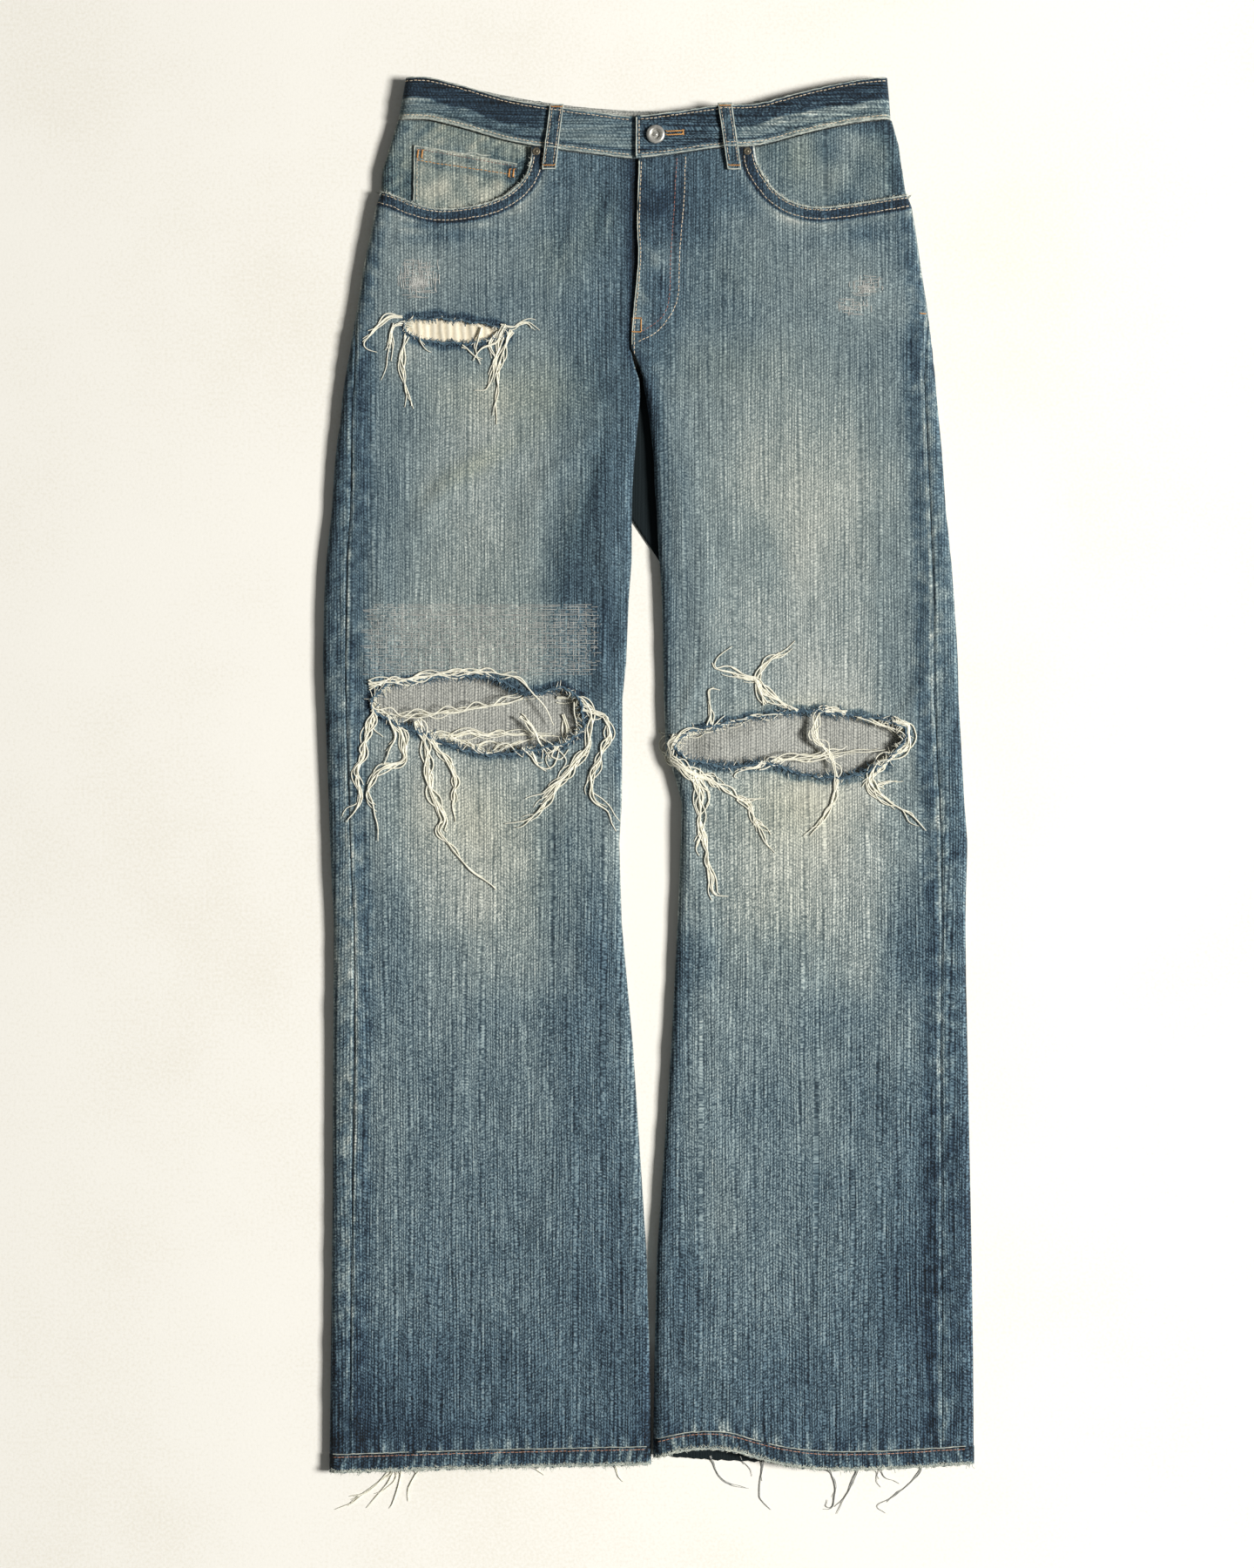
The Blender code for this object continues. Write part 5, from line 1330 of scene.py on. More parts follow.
# laying yarns on the cloth
bpy.context.view_layer.update()
graph = bpy.context.evaluated_depsgraph_get()
topPieces = [*fronts.values(), *backs.values(), *hems.values(), bandPiece, *facings, coin, bag, *loops[:2]]
skins = [BVHTree.FromObject(thing, graph) for thing in topPieces]


def topAt(across, drop):
    # height of whatever lies on top at a place, or of the floor
    start = Vector((across * mm, topEdge - drop * mm, 60 * mm))
    best = 0.0
    for skin in skins:
        hit = skin.ray_cast(start, Vector((0, 0, -1)), 0.1)[0]
        if hit is not None:
            best = max(best, hit.z / mm)
    return best


holeShapes = [(side, np.array(tears[side][label], float)) for side in tears for label in tears[side]]


def inHole(across, drop):
    point = np.array([across]), np.array([drop])
    for _, outline in holeShapes:
        low, high = outline.min(0), outline.max(0)
        if low[0] < across < high[0] and low[1] < drop < high[1] and distanceTo(outline, *point)[0][0] < 0:
            return True
    return False


yarnSag = 1.2  # how far a yarn hangs down in a hole


def laid(points, lift, radius):
    # a run of (across, drop, height, radius) that follows the cloth and bridges the holes
    heights, held = [], []
    for x, d in points:
        heights.append(topAt(x, d) + lift + radius)
        held.append(not inHole(x, d))
    if not any(held):
        held = [True] * len(points)
    marks = np.arange(len(points))
    kept = marks[np.array(held)]
    bridged = np.interp(marks, kept, np.array(heights)[kept])
    for i in marks:
        if not held[i]:
            gap = min(abs(i - k) for k in kept)
            heights[i] = max(bridged[i] - yarnSag * min(1.0, gap / 4), heights[i])
    heights = np.convolve(np.pad(heights, 1, mode="edge"), [0.25, 0.5, 0.25], "valid")
    count = len(points)
    out = []
    for i, (x, d) in enumerate(points):
        thin = 0.55 + 0.45 * min(1.0, (count - 1 - i) / 5)  # towards its tip
        out.append((x, d, float(heights[i]), radius * thin))
    return out


# long broken yarns at the tears and hems: listed routes, some with a number of strands first
thighRoutes = [
    [(-198, 193), (-208, 192), (-216, 199), (-229, 213), (-227, 218), (-218, 220)],
    [(-205, 198), (-209, 218), (-212, 244)],
    [6, (-192, 204), (-195, 209), (-199, 227), (-196, 246), (-192, 267)],
    [(-184, 208), (-184, 211), (-181, 216), (-177, 223)],
    [(-134, 201), (-138, 213), (-141, 225)],
    [(-150, 216), (-146, 218), (-140, 224), (-134, 230)],
    [(-115, 199), (-117, 202), (-122, 221), (-125, 237), (-129, 251), (-139, 255)],
    [(-110, 204), (-113, 209), (-118, 225), (-121, 237), (-123, 260), (-125, 279)],
    [(-119, 199), (-109, 201), (-98, 197), (-92, 200), (-88, 204)],
    [4, (-190, 200), (-200, 198), (-207, 203), (-205, 214), (-208, 228)],
    [4, (-122, 204), (-128, 214), (-124, 226), (-131, 238)],
    [3, (-118, 203), (-122, 212), (-134, 218), (-141, 228)],
]
kneeRightRoutes = [
    [(-225, 488), (-192, 484), (-164, 479), (-137, 478), (-119, 480), (-105, 484), (-88, 500),
     (-75, 520)],
    [(-222, 506), (-204, 513), (-186, 512), (-162, 510), (-140, 507), (-118, 503), (-98, 497),
     (-85, 496)],
    [(-176, 529), (-150, 528), (-122, 528), (-94, 528), (-71, 528)],
    [(-221, 503), (-222, 512), (-227, 529), (-230, 545), (-234, 557), (-233, 581), (-239, 591),
     (-244, 598)],
    [(-205, 514), (-202, 522), (-197, 533), (-196, 547), (-209, 554), (-221, 561), (-225, 571),
     (-224, 579), (-216, 595), (-211, 612)],
    [(-187, 517), (-182, 525), (-179, 539), (-178, 552), (-175, 573), (-169, 587), (-164, 597),
     (-168, 606), (-161, 616), (-155, 625), (-141, 640), (-123, 654)],
    [(-178, 526), (-173, 536), (-164, 546), (-157, 556), (-155, 567), (-157, 579), (-153, 598)],
    [7, (-74, 498), (-55, 500), (-46, 514), (-48, 530), (-52, 543), (-64, 557), (-74, 567),
     (-82, 575), (-98, 582)],
    [(-52, 543), (-66, 559), (-80, 578), (-94, 595), (-114, 604)],
    [7, (-54, 507), (-46, 511), (-38, 512), (-34, 514), (-32, 529), (-37, 540), (-41, 552),
     (-46, 564), (-46, 575), (-40, 583), (-32, 589), (-27, 597), (-23, 604)],
    [(-104, 514), (-97, 519), (-91, 526), (-86, 538), (-82, 549)],
    [(-102, 539), (-93, 545), (-89, 553), (-80, 556), (-74, 550), (-68, 542)],
    [(-69, 512), (-66, 528), (-74, 539), (-79, 546), (-71, 549), (-65, 540)],
    [5, (-170, 532), (-150, 536), (-134, 541), (-120, 540), (-104, 535), (-88, 533)],
    [4, (-160, 530), (-142, 538), (-128, 534), (-112, 538), (-92, 530)],
    [4, (-146, 534), (-130, 543), (-118, 536), (-100, 540)],
    [5, (-60, 502), (-56, 514), (-60, 528), (-70, 536), (-84, 540)],
    [3, (-88, 530), (-76, 538), (-66, 548), (-70, 557)],
    [4, (-222, 500), (-219, 512), (-222, 522), (-216, 532)],
    [3, (-210, 512), (-204, 530), (-208, 540), (-213, 552)],
]
kneeLeftRoutes = [
    [(119, 510), (115, 507), (104, 501), (93, 494), (89, 489), (86, 484), (70, 479), (54, 475),
     (55, 466), (66, 456)],
    [(94, 504), (90, 496), (86, 484), (87, 481), (90, 477), (97, 468), (108, 462), (119, 455)],
    [(86, 484), (74, 482), (68, 479), (63, 476)],
    [(50, 521), (50, 519), (49, 507), (48, 494), (51, 491), (57, 490)],
    [(15, 536), (18, 533), (35, 527), (54, 522), (80, 515), (98, 512), (115, 509)],
    [11, (22, 531), (16, 536), (17, 542), (18, 550), (26, 555), (36, 559), (47, 564), (57, 569),
     (65, 575), (71, 580), (82, 582), (93, 582)],
    [(71, 580), (80, 585), (86, 598), (92, 609), (97, 617), (102, 623)],
    [(86, 598), (93, 603), (99, 608)],
    [(36, 557), (38, 564), (41, 582), (41, 600), (44, 612), (47, 625), (49, 638), (51, 650),
     (54, 657), (57, 658), (64, 658)],
    [(41, 609), (38, 617), (38, 626)],
    [(38, 560), (43, 568), (48, 575), (48, 584), (45, 593)],
    [(158, 512), (152, 509), (144, 509), (137, 511), (134, 516), (132, 523), (134, 530), (141, 539),
     (148, 550), (151, 559), (150, 568), (148, 579), (144, 589), (135, 601), (125, 611)],
    [(88, 551), (122, 547), (158, 543), (190, 539)],
    [(92, 550), (88, 554), (79, 556), (70, 559), (68, 563), (72, 564)],
    [9, (196, 518), (208, 521), (209, 526), (209, 533), (206, 539), (197, 545), (186, 550),
     (180, 556), (177, 564), (180, 570), (184, 575), (190, 580), (197, 584), (204, 587), (211, 591),
     (218, 597), (225, 603)],
    [(184, 568), (186, 568), (195, 566), (204, 568)],
    [(8, 526), (9, 526), (15, 528), (20, 531)],
    [6, (18, 548), (28, 556), (42, 562), (56, 570), (64, 576)],
    [5, (168, 514), (180, 519), (192, 522), (203, 527), (208, 533)],
    [4, (200, 540), (190, 552), (182, 560), (176, 570), (182, 578)],
]
hemRightRoutes = [
    [(-206, 1119), (-209, 1125), (-216, 1130), (-227, 1139), (-240, 1148), (-253, 1154)],
    [(-208, 1119), (-220, 1134), (-234, 1142), (-244, 1147)],
    [(-205, 1119), (-211, 1132), (-220, 1143), (-228, 1152)],
    [(-202, 1119), (-206, 1131), (-214, 1138), (-219, 1143)],
    [(-200, 1119), (-202, 1135), (-206, 1147), (-209, 1153)],
    [(-184, 1118), (-186, 1122), (-190, 1129), (-194, 1135), (-195, 1141), (-194, 1147)],
    [(-93, 1115), (-90, 1122), (-84, 1126)],
    [(-27, 1113), (-26, 1122), (-24, 1132)],
]
hemLeftRoutes = [
    [(49, 1110), (52, 1116), (57, 1126), (65, 1133), (80, 1139)],
    [(74, 1110), (76, 1115), (81, 1120), (85, 1126)],
    [(93, 1113), (92, 1119), (90, 1135), (90, 1148), (92, 1156)],
    [(144, 1117), (146, 1121), (151, 1135), (150, 1144), (148, 1152), (142, 1152), (141, 1146)],
    [(171, 1117), (169, 1121), (162, 1137), (156, 1147), (149, 1154)],
    [(184, 1117), (185, 1121), (184, 1129), (185, 1136)],
    [(186, 1117), (190, 1127), (197, 1130), (203, 1131)],
    [(220, 1114), (219, 1123), (207, 1136), (194, 1145), (185, 1151), (192, 1156)],
]
yarnSets = {  # strands, radius and routes
    "thigh": (5, 0.54, thighRoutes),
    "kneeRight": (6, 0.58, kneeRightRoutes),
    "kneeLeft": (6, 0.58, kneeLeftRoutes),
    "hemRight": (3, 0.34, hemRightRoutes),
    "hemLeft": (3, 0.34, hemLeftRoutes),
}


def yarnBundle(name, strands, radius, routes):
    # several strands run together along each route, part near its tip and end at different lengths
    runs = []
    for number, route in enumerate(routes):
        draw = random.Random(number * 31 + len(name))
        asked, route = (route[0], route[1:]) if isinstance(route[0], int) else (0, route)
        total = sum(math.dist(a, b) for a, b in zip(route, route[1:]))
        amount = asked or max(1, round(strands * min(1.25, 0.45 + total / 110)))
        centre = through(route, 2.4)
        for strand in range(amount):
            side = (strand - (amount - 1) / 2) * radius * 2.1
            phase, wave = draw.uniform(0, 6.3), draw.uniform(20, 44)
            last = max(4, int(len(centre) * (1.0 if strand == amount // 2 else draw.uniform(0.45, 1.0))))
            splay = draw.gauss(0, 1.0)
            moved = []
            for k, p in enumerate(centre[:last]):
                ahead = (centre[min(k + 1, len(centre) - 1)] - centre[max(k - 1, 0)]).normalized()
                share = k / last
                out = side * (0.55 + 0.75 * math.cos(phase + k * 2.4 / wave * math.tau)) * (1 - 0.3 * share)
                out += 0.8 * radius * math.sin(phase * 2 + k * 2.4 / (wave * 0.8) * math.tau)
                out += splay * max(0.0, share - 0.7) * 9
                x, d = p.x + ahead.y * out, p.y - ahead.x * out
                moved.append((x + draw.gauss(0, 0.1), d + draw.gauss(0, 0.1)))
            lift = 0.1 + radius * (1.1 if strand % 3 == 1 else 0.2 * (strand % 3))
            runs.append(laid(moved, lift, radius * draw.uniform(0.75, 1.12)))
    return threads(name, runs, greyStitch if name == "hemLeftYarns" else ivoryYarn)


yarns = {name: yarnBundle(name + "Yarns", *settings) for name, settings in yarnSets.items()}
print("jeans: long yarns laid")


# short fray along the torn edges
def fibre(draw, base, way, length, radius, lift=0.1, droop=0.9):
    # one short loose end, curling away from where it is held
    curl, height = draw.gauss(0, 0.55), topAt(*base) + lift + radius
    made = []
    for k in range(4):
        t = k / 3
        c, s = math.cos(curl * t), math.sin(curl * t)
        step = np.array([way[0] * c - way[1] * s, way[0] * s + way[1] * c]) * length * t
        tall = height + 0.7 * math.sin(t * 2.6) - droop * t * t * draw.uniform(0.2, 1.3)
        made.append((base[0] + step[0], base[1] + step[1], tall, radius * (1 - 0.45 * t)))
    return made


def edgeFrames(outline, every):
    # places along a closed outline, with the way along it and the way into the hole
    run = np.array([p[:2] for p in through(outline, every, closed=True)])
    ahead = np.roll(run, -1, 0) - np.roll(run, 1, 0)
    ahead /= np.maximum(np.hypot(*ahead.T), 1e-6)[:, None]
    inward = np.stack([-ahead[:, 1], ahead[:, 0]], 1)
    if distanceTo(outline, *(run[:1] + inward[:1] * 1.5).T)[0][0] > 0:
        inward = -inward
    return run, ahead, inward


frayLook = {"spacing": 0.24, "blue": 0.34, "length": 6.2, "reach": 3.4, "ropeRadius": 0.8, "ropeTwist": 11.0}


def tornEdge(key, outline, seed):
    # a matted blue edge of broken warp and weft round the tear, with pale ends at its corners
    look, draw = frayLook, random.Random(seed)
    small = 0.62 if "thigh" in key else 1.0
    run, ahead, inward = edgeFrames(outline, look["spacing"])
    low, high = run.min(0), run.max(0)
    blue, pale = [], []
    for k, (spot, along, into) in enumerate(zip(run, ahead, inward)):
        share = (spot[0] - low[0]) / (high[0] - low[0])
        corner = share < 0.09 or share > 0.88
        thick = (0.5 + 0.5 * math.sin(k * 0.021 + seed) * math.sin(k * 0.0083 + seed)) * small
        if draw.random() > 0.3 + thick:
            continue
        base = spot + into * draw.uniform(-1.0, 0.35) * look["reach"] * thick
        way = along * draw.choice((-1, 1)) * draw.uniform(0.3, 1.0) + into * draw.gauss(0.1, 0.5)
        if draw.random() < 0.16:
            way, base = into * draw.uniform(0.6, 1.0) + along * draw.gauss(0, 0.5), spot - into * 0.6
        way = way / max(np.hypot(*way), 0.2)
        bundle = pale if draw.random() < (0.55 if corner else 0.07) else blue
        size = look["length"] * small * draw.uniform(0.35, 1.15)
        lift = draw.uniform(0.0, 1.1) * thick
        bundle.append(fibre(draw, base, way, size, look["blue"] * draw.uniform(0.6, 1.15), lift=lift))
    for strand in range(2):
        rope = []
        for k, (spot, into) in enumerate(zip(run[::6], inward[::6])):
            turn = k * 6 * look["spacing"] / look["ropeTwist"] * math.tau + strand * math.pi
            thick = look["ropeRadius"] * small * (0.55 + 0.6 * abs(math.sin(k * 0.047 + strand + seed)))
            x, d = spot - into * (0.9 * small + thick * math.cos(turn) * 0.9)
            rope.append((x, d, topAt(x, d) + 0.1 + thick * (0.8 + 0.7 * math.sin(turn)), thick))
        blue.append(rope + rope[:1])
    return [threads("blueFray" + key, blue, indigoYarn, sides=0, smoothness=1),
            threads("paleFray" + key, pale, ivoryYarn, sides=0, smoothness=1)]


frays = []
for key, outline in outlinesOf.items():
    frays += tornEdge(key, outline, 200 + len(frays))
print("jeans: tears frayed")


# sewn rows
onFloor = 1.0  # a place lower than this has no cloth under it


def stitchRow(line, pitch, length, radius):
    # stitches along a line of (across, drop), each one short and a little arched
    marks = np.concatenate([[0], np.cumsum([math.dist(a, b) for a, b in zip(line, line[1:])])])
    xs, ds = zip(*line)
    rows, at = [], 0.4
    while at + length < marks[-1]:
        ends = [(float(np.interp(m, marks, xs)), float(np.interp(m, marks, ds)))
                for m in (at, at + length / 2, at + length)]
        shift = rng.gauss(0, 0.12), rng.gauss(0, 0.12)
        heights = [topAt(x, d) for x, d in ends]
        if min(heights) > onFloor:
            rows.append([(x + shift[0], d + shift[1], h + bow, radius * wide) for (x, d), h, bow, wide in
                         zip(ends, heights, (-0.15, 0.28, -0.15), (0.75, 1.0, 0.75))])
        at += pitch * rng.uniform(0.93, 1.07)
    return rows


def shifted(line, distance):
    # a line moved sideways; positive is to the left of the way it runs
    points = [Vector(p) for p in line]
    out = []
    for i, p in enumerate(points):
        ahead = (points[min(i + 1, len(points) - 1)] - points[max(i - 1, 0)]).normalized()
        out.append((p.x + ahead.y * distance, p.y - ahead.x * distance))
    return out


def barTack(x, d, width, height, turn=0.0, count=7):
    # a dense zigzag of thread over a seam end
    c, s = turnedBy(turn)
    tack = []
    for k in range(count * 2 + 1):
        a = (k / (count * 2) - 0.5) * width
        b = height / 2 * (1 if k % 2 else -1)
        px, pd = x + a * c - b * s, d + a * s + b * c
        tack.append((px, pd, topAt(px, pd) + 0.35, 0.42))
    return tack


def wornEdge(line, radius):
    run = []
    for p in through(line, 2.2):
        x, d = p[0] + rng.gauss(0, 0.12), p[1] + rng.gauss(0, 0.18)
        thick = radius * rng.uniform(0.55, 1.25)
        top = topAt(x, d)
        if top > onFloor:
            run.append((x, d, top, thick))
    return run


seam = {"pitch": 3.4, "length": 2.3, "radius": 0.44}
tanRows, orangeRows, maroonRows, hemRows, paleRuns = ([] for _ in range(5))
# waistband, just inside its top and bottom edges; the front only, where it shows
bandXs = range(-198, 196, 4)
bandTop = [(x * 0.985 - 1, float(smoothLine(frontWaist, x * 0.985 - 1)) + 3.0) for x in bandXs]
bandLow = [(x, float(smoothLine(frontWaist, x)) + cloth["bandHeight"] - 3.2) for x in bandXs]
for line in (bandTop, bandLow):
    for first, last in ((-198, -13), (-9, 196)):
        part = [p for p in line if first <= p[0] <= last]
        tanRows += stitchRow(part, **seam)
endX = band["overlapEnd"]
tanRows += stitchRow([(endX + 2.6, 35), (endX + 2.6, 62)], **seam)
for leg in legs:
    line = [p for p in through(mouths[leg["name"]], 2.0) if p[1] > 60]
    for offset in (2.6, 9.4):
        tanRows += stitchRow(shifted(line, -leg["outward"] * offset), **seam)
# the fly: two curved rows, and one along its edge
flyOuter = [(29.5, 64), (28, 101), (25, 138.5), (24, 168.5), (23, 178), (18, 190.5), (6, 205), (-10, 213.5)]
flyInner = [(22.5, 65), (20.5, 101), (17.5, 146.5), (16.5, 176.5), (10.5, 193), (-6, 205)]
flyEdge = [(-8.5, 68), (-10, 115.5), (-9, 146.5), (-12.5, 184), (-14, 204.5), (-14, 224.5), (-12, 234)]
tanRows += stitchRow(through(flyOuter, 3), **seam)
maroonRows += stitchRow(through(flyInner, 3), **seam)
tanRows += stitchRow(shifted(through(flyEdge, 3), 2.4), **seam)
# hems, on the front only
for leg in legs:
    xs = np.arange(-254, 1, 4.0) if leg is rightLeg else np.arange(7, 259, 4.0)
    line = [(float(x), float(smoothLine(leg["hemFront"], x)) - 12.6) for x in xs]
    hemRows += stitchRow(line, 3.3, 2.6, 0.38)
    paleRuns.append(wornEdge([(x, d - 2.2) for x, d in line], 0.42))
# belt loops: a row inside each edge, and bar tacks at both ends
for x0, d0, x1, d1 in frontLoops.values():
    for offset in (-3.4, 3.4):
        tanRows += stitchRow([(x0 + offset, d0 + 3), (x1 + offset, d1 - 4)], 3.0, 2.2, 0.3)
    orangeRows.append(barTack(x0, d0 + 2.2, 9.5, 1.6))
    orangeRows.append(barTack(x1, d1 - 3.4, 9.5, 1.8))
# coin pocket: a row under its top edge, one down its side, and a tack at each corner
maroonRows += stitchRow([(-187, 57.4), (-107, 71.8)], 3.0, 2.1, 0.3)
orangeRows += stitchRow([(-187, 66.6), (-108, 78.6)], 3.2, 2.3, 0.4)
tanRows += stitchRow([(-186, 57), (-186.5, 100)], 3.2, 2.3, 0.3)
for x, d in ((-184, 57.6), (-110.5, 72.8)):
    for aside in (-1.7, 1.7):
        orangeRows.append(barTack(x + aside, d + 4.2, 7.0, 3.0, 96, 8))
# the fly's closing tack, the buttonhole and a tack at the left outseam
tacks = [
    # across, drop, width, height, turn (degrees), zigzags
    (-9.8, 194, 7.5, 1.1, 0, 6), (-9.8, 205, 7.5, 1.1, 0, 6), (-13.4, 199.5, 10, 1.1, 90, 6),
    (-6.2, 199.5, 10, 1.1, 90, 6), (20.5, 44.1, 13.5, 1.8, -3, 11), (20.5, 46.9, 13.5, 1.8, -3, 11),
    (27.6, 45.2, 4.2, 1.6, 90, 4), (220.5, 190, 5, 1.0, 0, 4),
]
orangeRows += [barTack(*tack) for tack in tacks]
for name, rows, finish in (("tan", tanRows, tanStitch), ("maroon", maroonRows, maroonStitch),
                           ("orange", orangeRows, orangeStitch), ("hem", hemRows, pinkStitch)):
    threads(name + "Stitching", rows, finish, sides=0)


# worn, roped edges that have gone pale: each a line and the radius of its yarn
worn = []
for leg in legs:
    line = [p for p in mouths[leg["name"]] if p[1] > 55]
    worn.append((shifted(through(line, 3), -leg["outward"] * 0.7), 0.6))
worn.append((shifted(through(flyEdge, 3), 0.8), 0.5))
for first, last in ((-200, -13), (-9, 194)):
    worn += [([(x, d + 2.4) for x, d in bandLow if first <= x <= last], 0.62),
             ([(x, d - 2.3) for x, d in bandTop if first <= x <= last], 0.42)]
worn.append(([(endX + 0.5, 33), (endX + 0.4, 64)], 0.6))
for x0, d0, x1, d1 in frontLoops.values():
    worn += [([(x0 + offset, d0 + 1), (x1 + offset, d1 - 1)], 0.5) for offset in (-5.1, 5.1)]
    worn += [([(x1 - 5, d1 - 0.6), (x1 + 5, d1 - 0.6)], 0.55),
             ([(x0 - 5, d0 + 0.6), (x0 + 5, d0 + 0.6)], 0.55)]
worn += [([(-188, 55.2), (-150, 61.5), (-106, 69.9)], 0.55),
         ([(-158, 58.8), (-150, 61.6), (-142, 60.4), (-134, 62.6), (-127, 62.4)], 0.8),
         ([(-188.4, 55.5), (-189, 100)], 0.45)]
for leg in legs:
    xs = np.arange(-255, 1, 5.0) if leg is rightLeg else np.arange(6, 260, 5.0)
    worn.append(([(x, float(smoothLine(leg["hemFront"], x)) - 1.0) for x in xs], 0.62))
paleRuns += [wornEdge(line, radius) for line, radius in worn]
fluff = []
for leg in legs:
    x, end = (-256.0, 2.0) if leg is rightLeg else (4.0, 261.0)
    while x < end:
        edgeDrop = float(smoothLine(leg["hemFront"], x))
        clump = 0.5 + 0.5 * math.sin(x * 0.21) * math.sin(x * 0.083 + 2)
        base = np.array([x, edgeDrop - rng.uniform(0.3, 3.0)])
        arched = 22 < x < 104
        way = np.array([rng.gauss(0, 0.8), rng.uniform(-0.9, 0.1) if arched else rng.uniform(-0.2, 1.0)])
        way /= max(np.hypot(*way), 0.3)
        fluff.append(fibre(rng, base, way, rng.uniform(1.2, 2.6 + 2.4 * clump), 0.3))
        x += rng.uniform(0.2, 0.6)
for leg in legs:
    line = shifted(through([p for p in mouths[leg["name"]] if p[1] > 56], 0.8), -leg["outward"] * 0.9)
    for a, b in zip(line, line[1:]):
        way = np.array([b[0] - a[0], b[1] - a[1]]) * rng.choice((-1, 1))
        way = way + np.array([rng.gauss(0, 0.5), rng.gauss(-0.2, 0.5)])
        way /= max(np.hypot(*way), 0.3)
        fluff.append(fibre(rng, np.array(a), way, rng.uniform(1.4, 3.4), 0.28, droop=0.5))
edges = threads("wornEdges", paleRuns, paleYarn)
fluffPiece = threads("edgeFluff", fluff, paleYarn, sides=0, smoothness=1)

# darning: fine running stitches that hold the worn places
darns = {"patch": (-222, -44, 424, 481), "rows": 2.3,
         # across from and to, drop from and to, rows
         "hip": [(-201, -168, 146, 178, 26), (-192, -178, 160, 172, 14), (150, 180, 178, 192, 12),
                 (160, 190, 160, 176, 12), (168, 182, 168, 174, 8)]}


def darning():
    draw = random.Random(77)
    left, right, top, bottom = darns["patch"]
    runs = []

    def dashes(start, end, level, upright, radius, longest=6.0):
        at = start
        while at < end:
            length = min(draw.uniform(2.2, longest), end - at)
            places = []
            for share, bow in ((0, 0.0), (0.3, 0.2), (0.7, 0.2), (1, 0.0)):
                a, b = at + length * share, level + draw.gauss(0, 0.2)
                x, d = (b, a) if upright else (a, b)
                places.append((x, d, topAt(x, d) + bow, radius * (1 if bow else 0.7)))
            runs.append(places)
            at += length + draw.uniform(0.6, 3.4)

    d = top
    while d < bottom:
        dense = d < top + 9 or draw.random() < 0.35
        dashes(left + draw.uniform(-10, 4), right + draw.uniform(-6, 6), d, False, 0.42 if dense else 0.34,
               26 if dense else 14)
        d += darns["rows"] * draw.uniform(0.45, 1.1)
    for x in np.arange(left, right, 5.2):
        dashes(top + draw.uniform(-2, 16), bottom - draw.uniform(0, 20), x + draw.gauss(0, 1.2), True, 0.34)
    for x0, x1, d0, d1, rows in darns["hip"]:
        for k in range(rows):
            for upright in (False, True):
                share = (k + draw.random()) / rows
                a = draw.uniform(0, 0.5)
                b = a + draw.uniform(0.2, 0.5)
                points = []
                for t in (0, 0.33, 0.66, 1):
                    run = a + (b - a) * t
                    points.append((x0 + (x1 - x0) * (share if upright else run) + draw.gauss(0, 0.5),
                                   d0 + (d1 - d0) * (run if upright else share) + draw.gauss(0, 0.5)))
                runs.append([(x, y, topAt(x, y) + 0.15, 0.36) for x, y in points])
    return threads("darning", runs, greyStitch, sides=0, smoothness=1)


darnPiece = darning()
print("jeans: sewn")


# button and rivets
def middleOf(node):
    low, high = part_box(node)
    return (low.x + high.x) / 2, (low.y + high.y) / 2, low.z


def turned(name, node, profile, segments, finish, slot):
    # a round piece spun from its outline, as (radius, height) from the middle of its foot
    bm = bmesh.new()
    line = [bm.verts.new((radius * mm, 0, height * mm)) for radius, height in profile]
    edgesOfLine = [bm.edges.new(pair) for pair in zip(line, line[1:])]
    bmesh.ops.spin(bm, geom=line + edgesOfLine, cent=(0, 0, 0), axis=(0, 0, 1), angle=math.tau,
                   steps=segments, use_merge=True)
    bmesh.ops.remove_doubles(bm, verts=bm.verts, dist=1e-6)
    bmesh.ops.recalc_face_normals(bm, faces=bm.faces)
    bmesh.ops.translate(bm, verts=bm.verts, vec=Vector(middleOf(node)))
    piece = finishObject(name, meshOf(bm, name), [finish])
    piece.data.set_sharp_from_angle(angle=math.radians(50))
    return dress(piece, node)


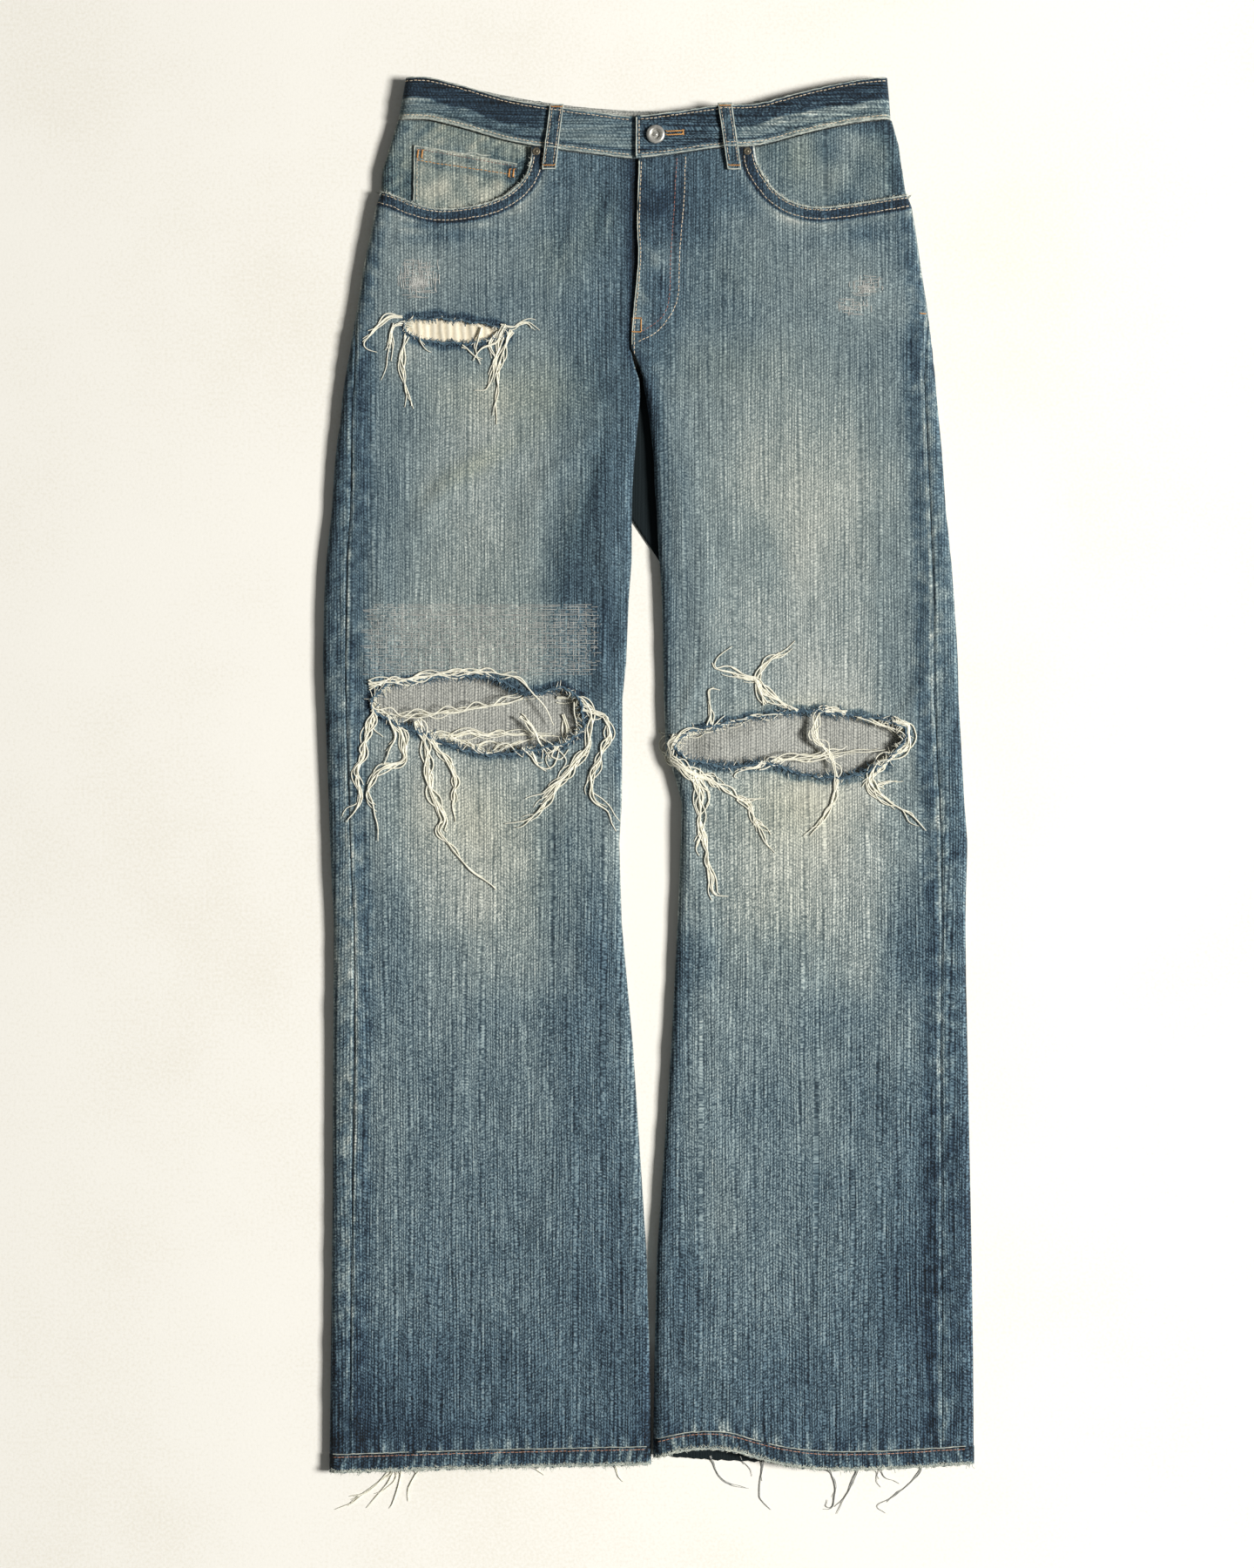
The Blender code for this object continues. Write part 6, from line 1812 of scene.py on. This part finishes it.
buttonProfile = [
    (0, 0), (5.8, 0), (6.9, 0.5), (7.4, 1.2), (7.35, 1.7), (7.0, 2.25), (6.3, 2.65), (5.4, 2.78),
    (4.6, 2.65), (4.0, 2.3), (3.6, 1.6), (3.5, 0.9), (3.3, 0.55), (2.2, 0.5), (1.7, 0.6), (1.5, 1.3),
    (0.9, 1.7), (0, 1.8),
]
rivetProfile = [
    (0, 0), (3.2, 0), (3.3, 0.35), (3.1, 0.8), (2.6, 1.05), (2.0, 0.98), (1.5, 0.85), (1.25, 1.15),
    (0.9, 1.45), (0.4, 1.58), (0, 1.6),
]
turned("buttonMetal", "button", buttonProfile, 64, steel, "button_metal")
for side in ("Right", "Left"):
    turned("rivet" + side, "rivet_" + side.lower(), rivetProfile, 36, darkBrass, "rivet_metal")
print("jeans: metal set")


# floor, light and camera
studio = {  # lengths in metres
    "floor": (242, 239, 231), "floorReach": 24.0, "keyPower": 790.0, "keySize": 1.6,
    "keyPlace": (5.3, -0.3, 4.5), "sky": 0.13, "cameraHeight": 2.6, "clothTop": 0.012, "sensor": 36.0,
    "frameHeight": 1.26, "centre": (-0.0175, -0.007),
}


def floorFinish():
    n = Nodes("plaster")
    place = n.add("TexCoord").outputs["Object"]
    cloud = n.grainNoise(place, (260, 260, 260), detail=4)
    speck = n.grainNoise(place, (2.4, 2.4, 2.4), detail=3, seed=0.6)
    tone = n.sum(0.5, [(cloud, 0.5), (speck, 0.5)])
    colour = n.ramp(tone, [(0.0, (196, 190, 176)), (0.28, (230, 225, 212)), (0.5, studio["floor"]),
                           (1.0, (250, 247, 240))])
    n.bump(speck, 0.15, 0.4)
    return n.done(colour, 0.9)


bm = bmesh.new()
bmesh.ops.create_grid(bm, x_segments=2, y_segments=2, size=studio["floorReach"])
floorObject = addObject("floor", meshOf(bm, "floor"))
floorObject.data.materials.append(floorFinish())

key = bpy.data.lights.new("key", "AREA")
key.energy, key.size, key.color = studio["keyPower"], studio["keySize"], (1.0, 0.985, 0.955)
keyObject = addObject("key", key)
keyObject.location = studio["keyPlace"]
keyObject.rotation_euler = Vector(studio["keyPlace"]).to_track_quat("Z", "Y").to_euler()
world = bpy.data.worlds.new("sky")
world.use_nodes = True
background = world.node_tree.nodes["Background"]
background.inputs["Color"].default_value = (0.98, 1.0, 0.98, 1)
background.inputs["Strength"].default_value = studio["sky"]
bpy.context.scene.world = world
bpy.context.scene.view_settings.view_transform = "Standard"

camera = bpy.data.cameras.new("camera")
camera.sensor_width = studio["sensor"]
camera.lens = studio["sensor"] * (studio["cameraHeight"] - studio["clothTop"]) / studio["frameHeight"]
cameraObject = addObject("camera", camera)
cameraObject.location = (*studio["centre"], studio["cameraHeight"])
bpy.context.scene.camera = cameraObject
print("jeans: studio set")
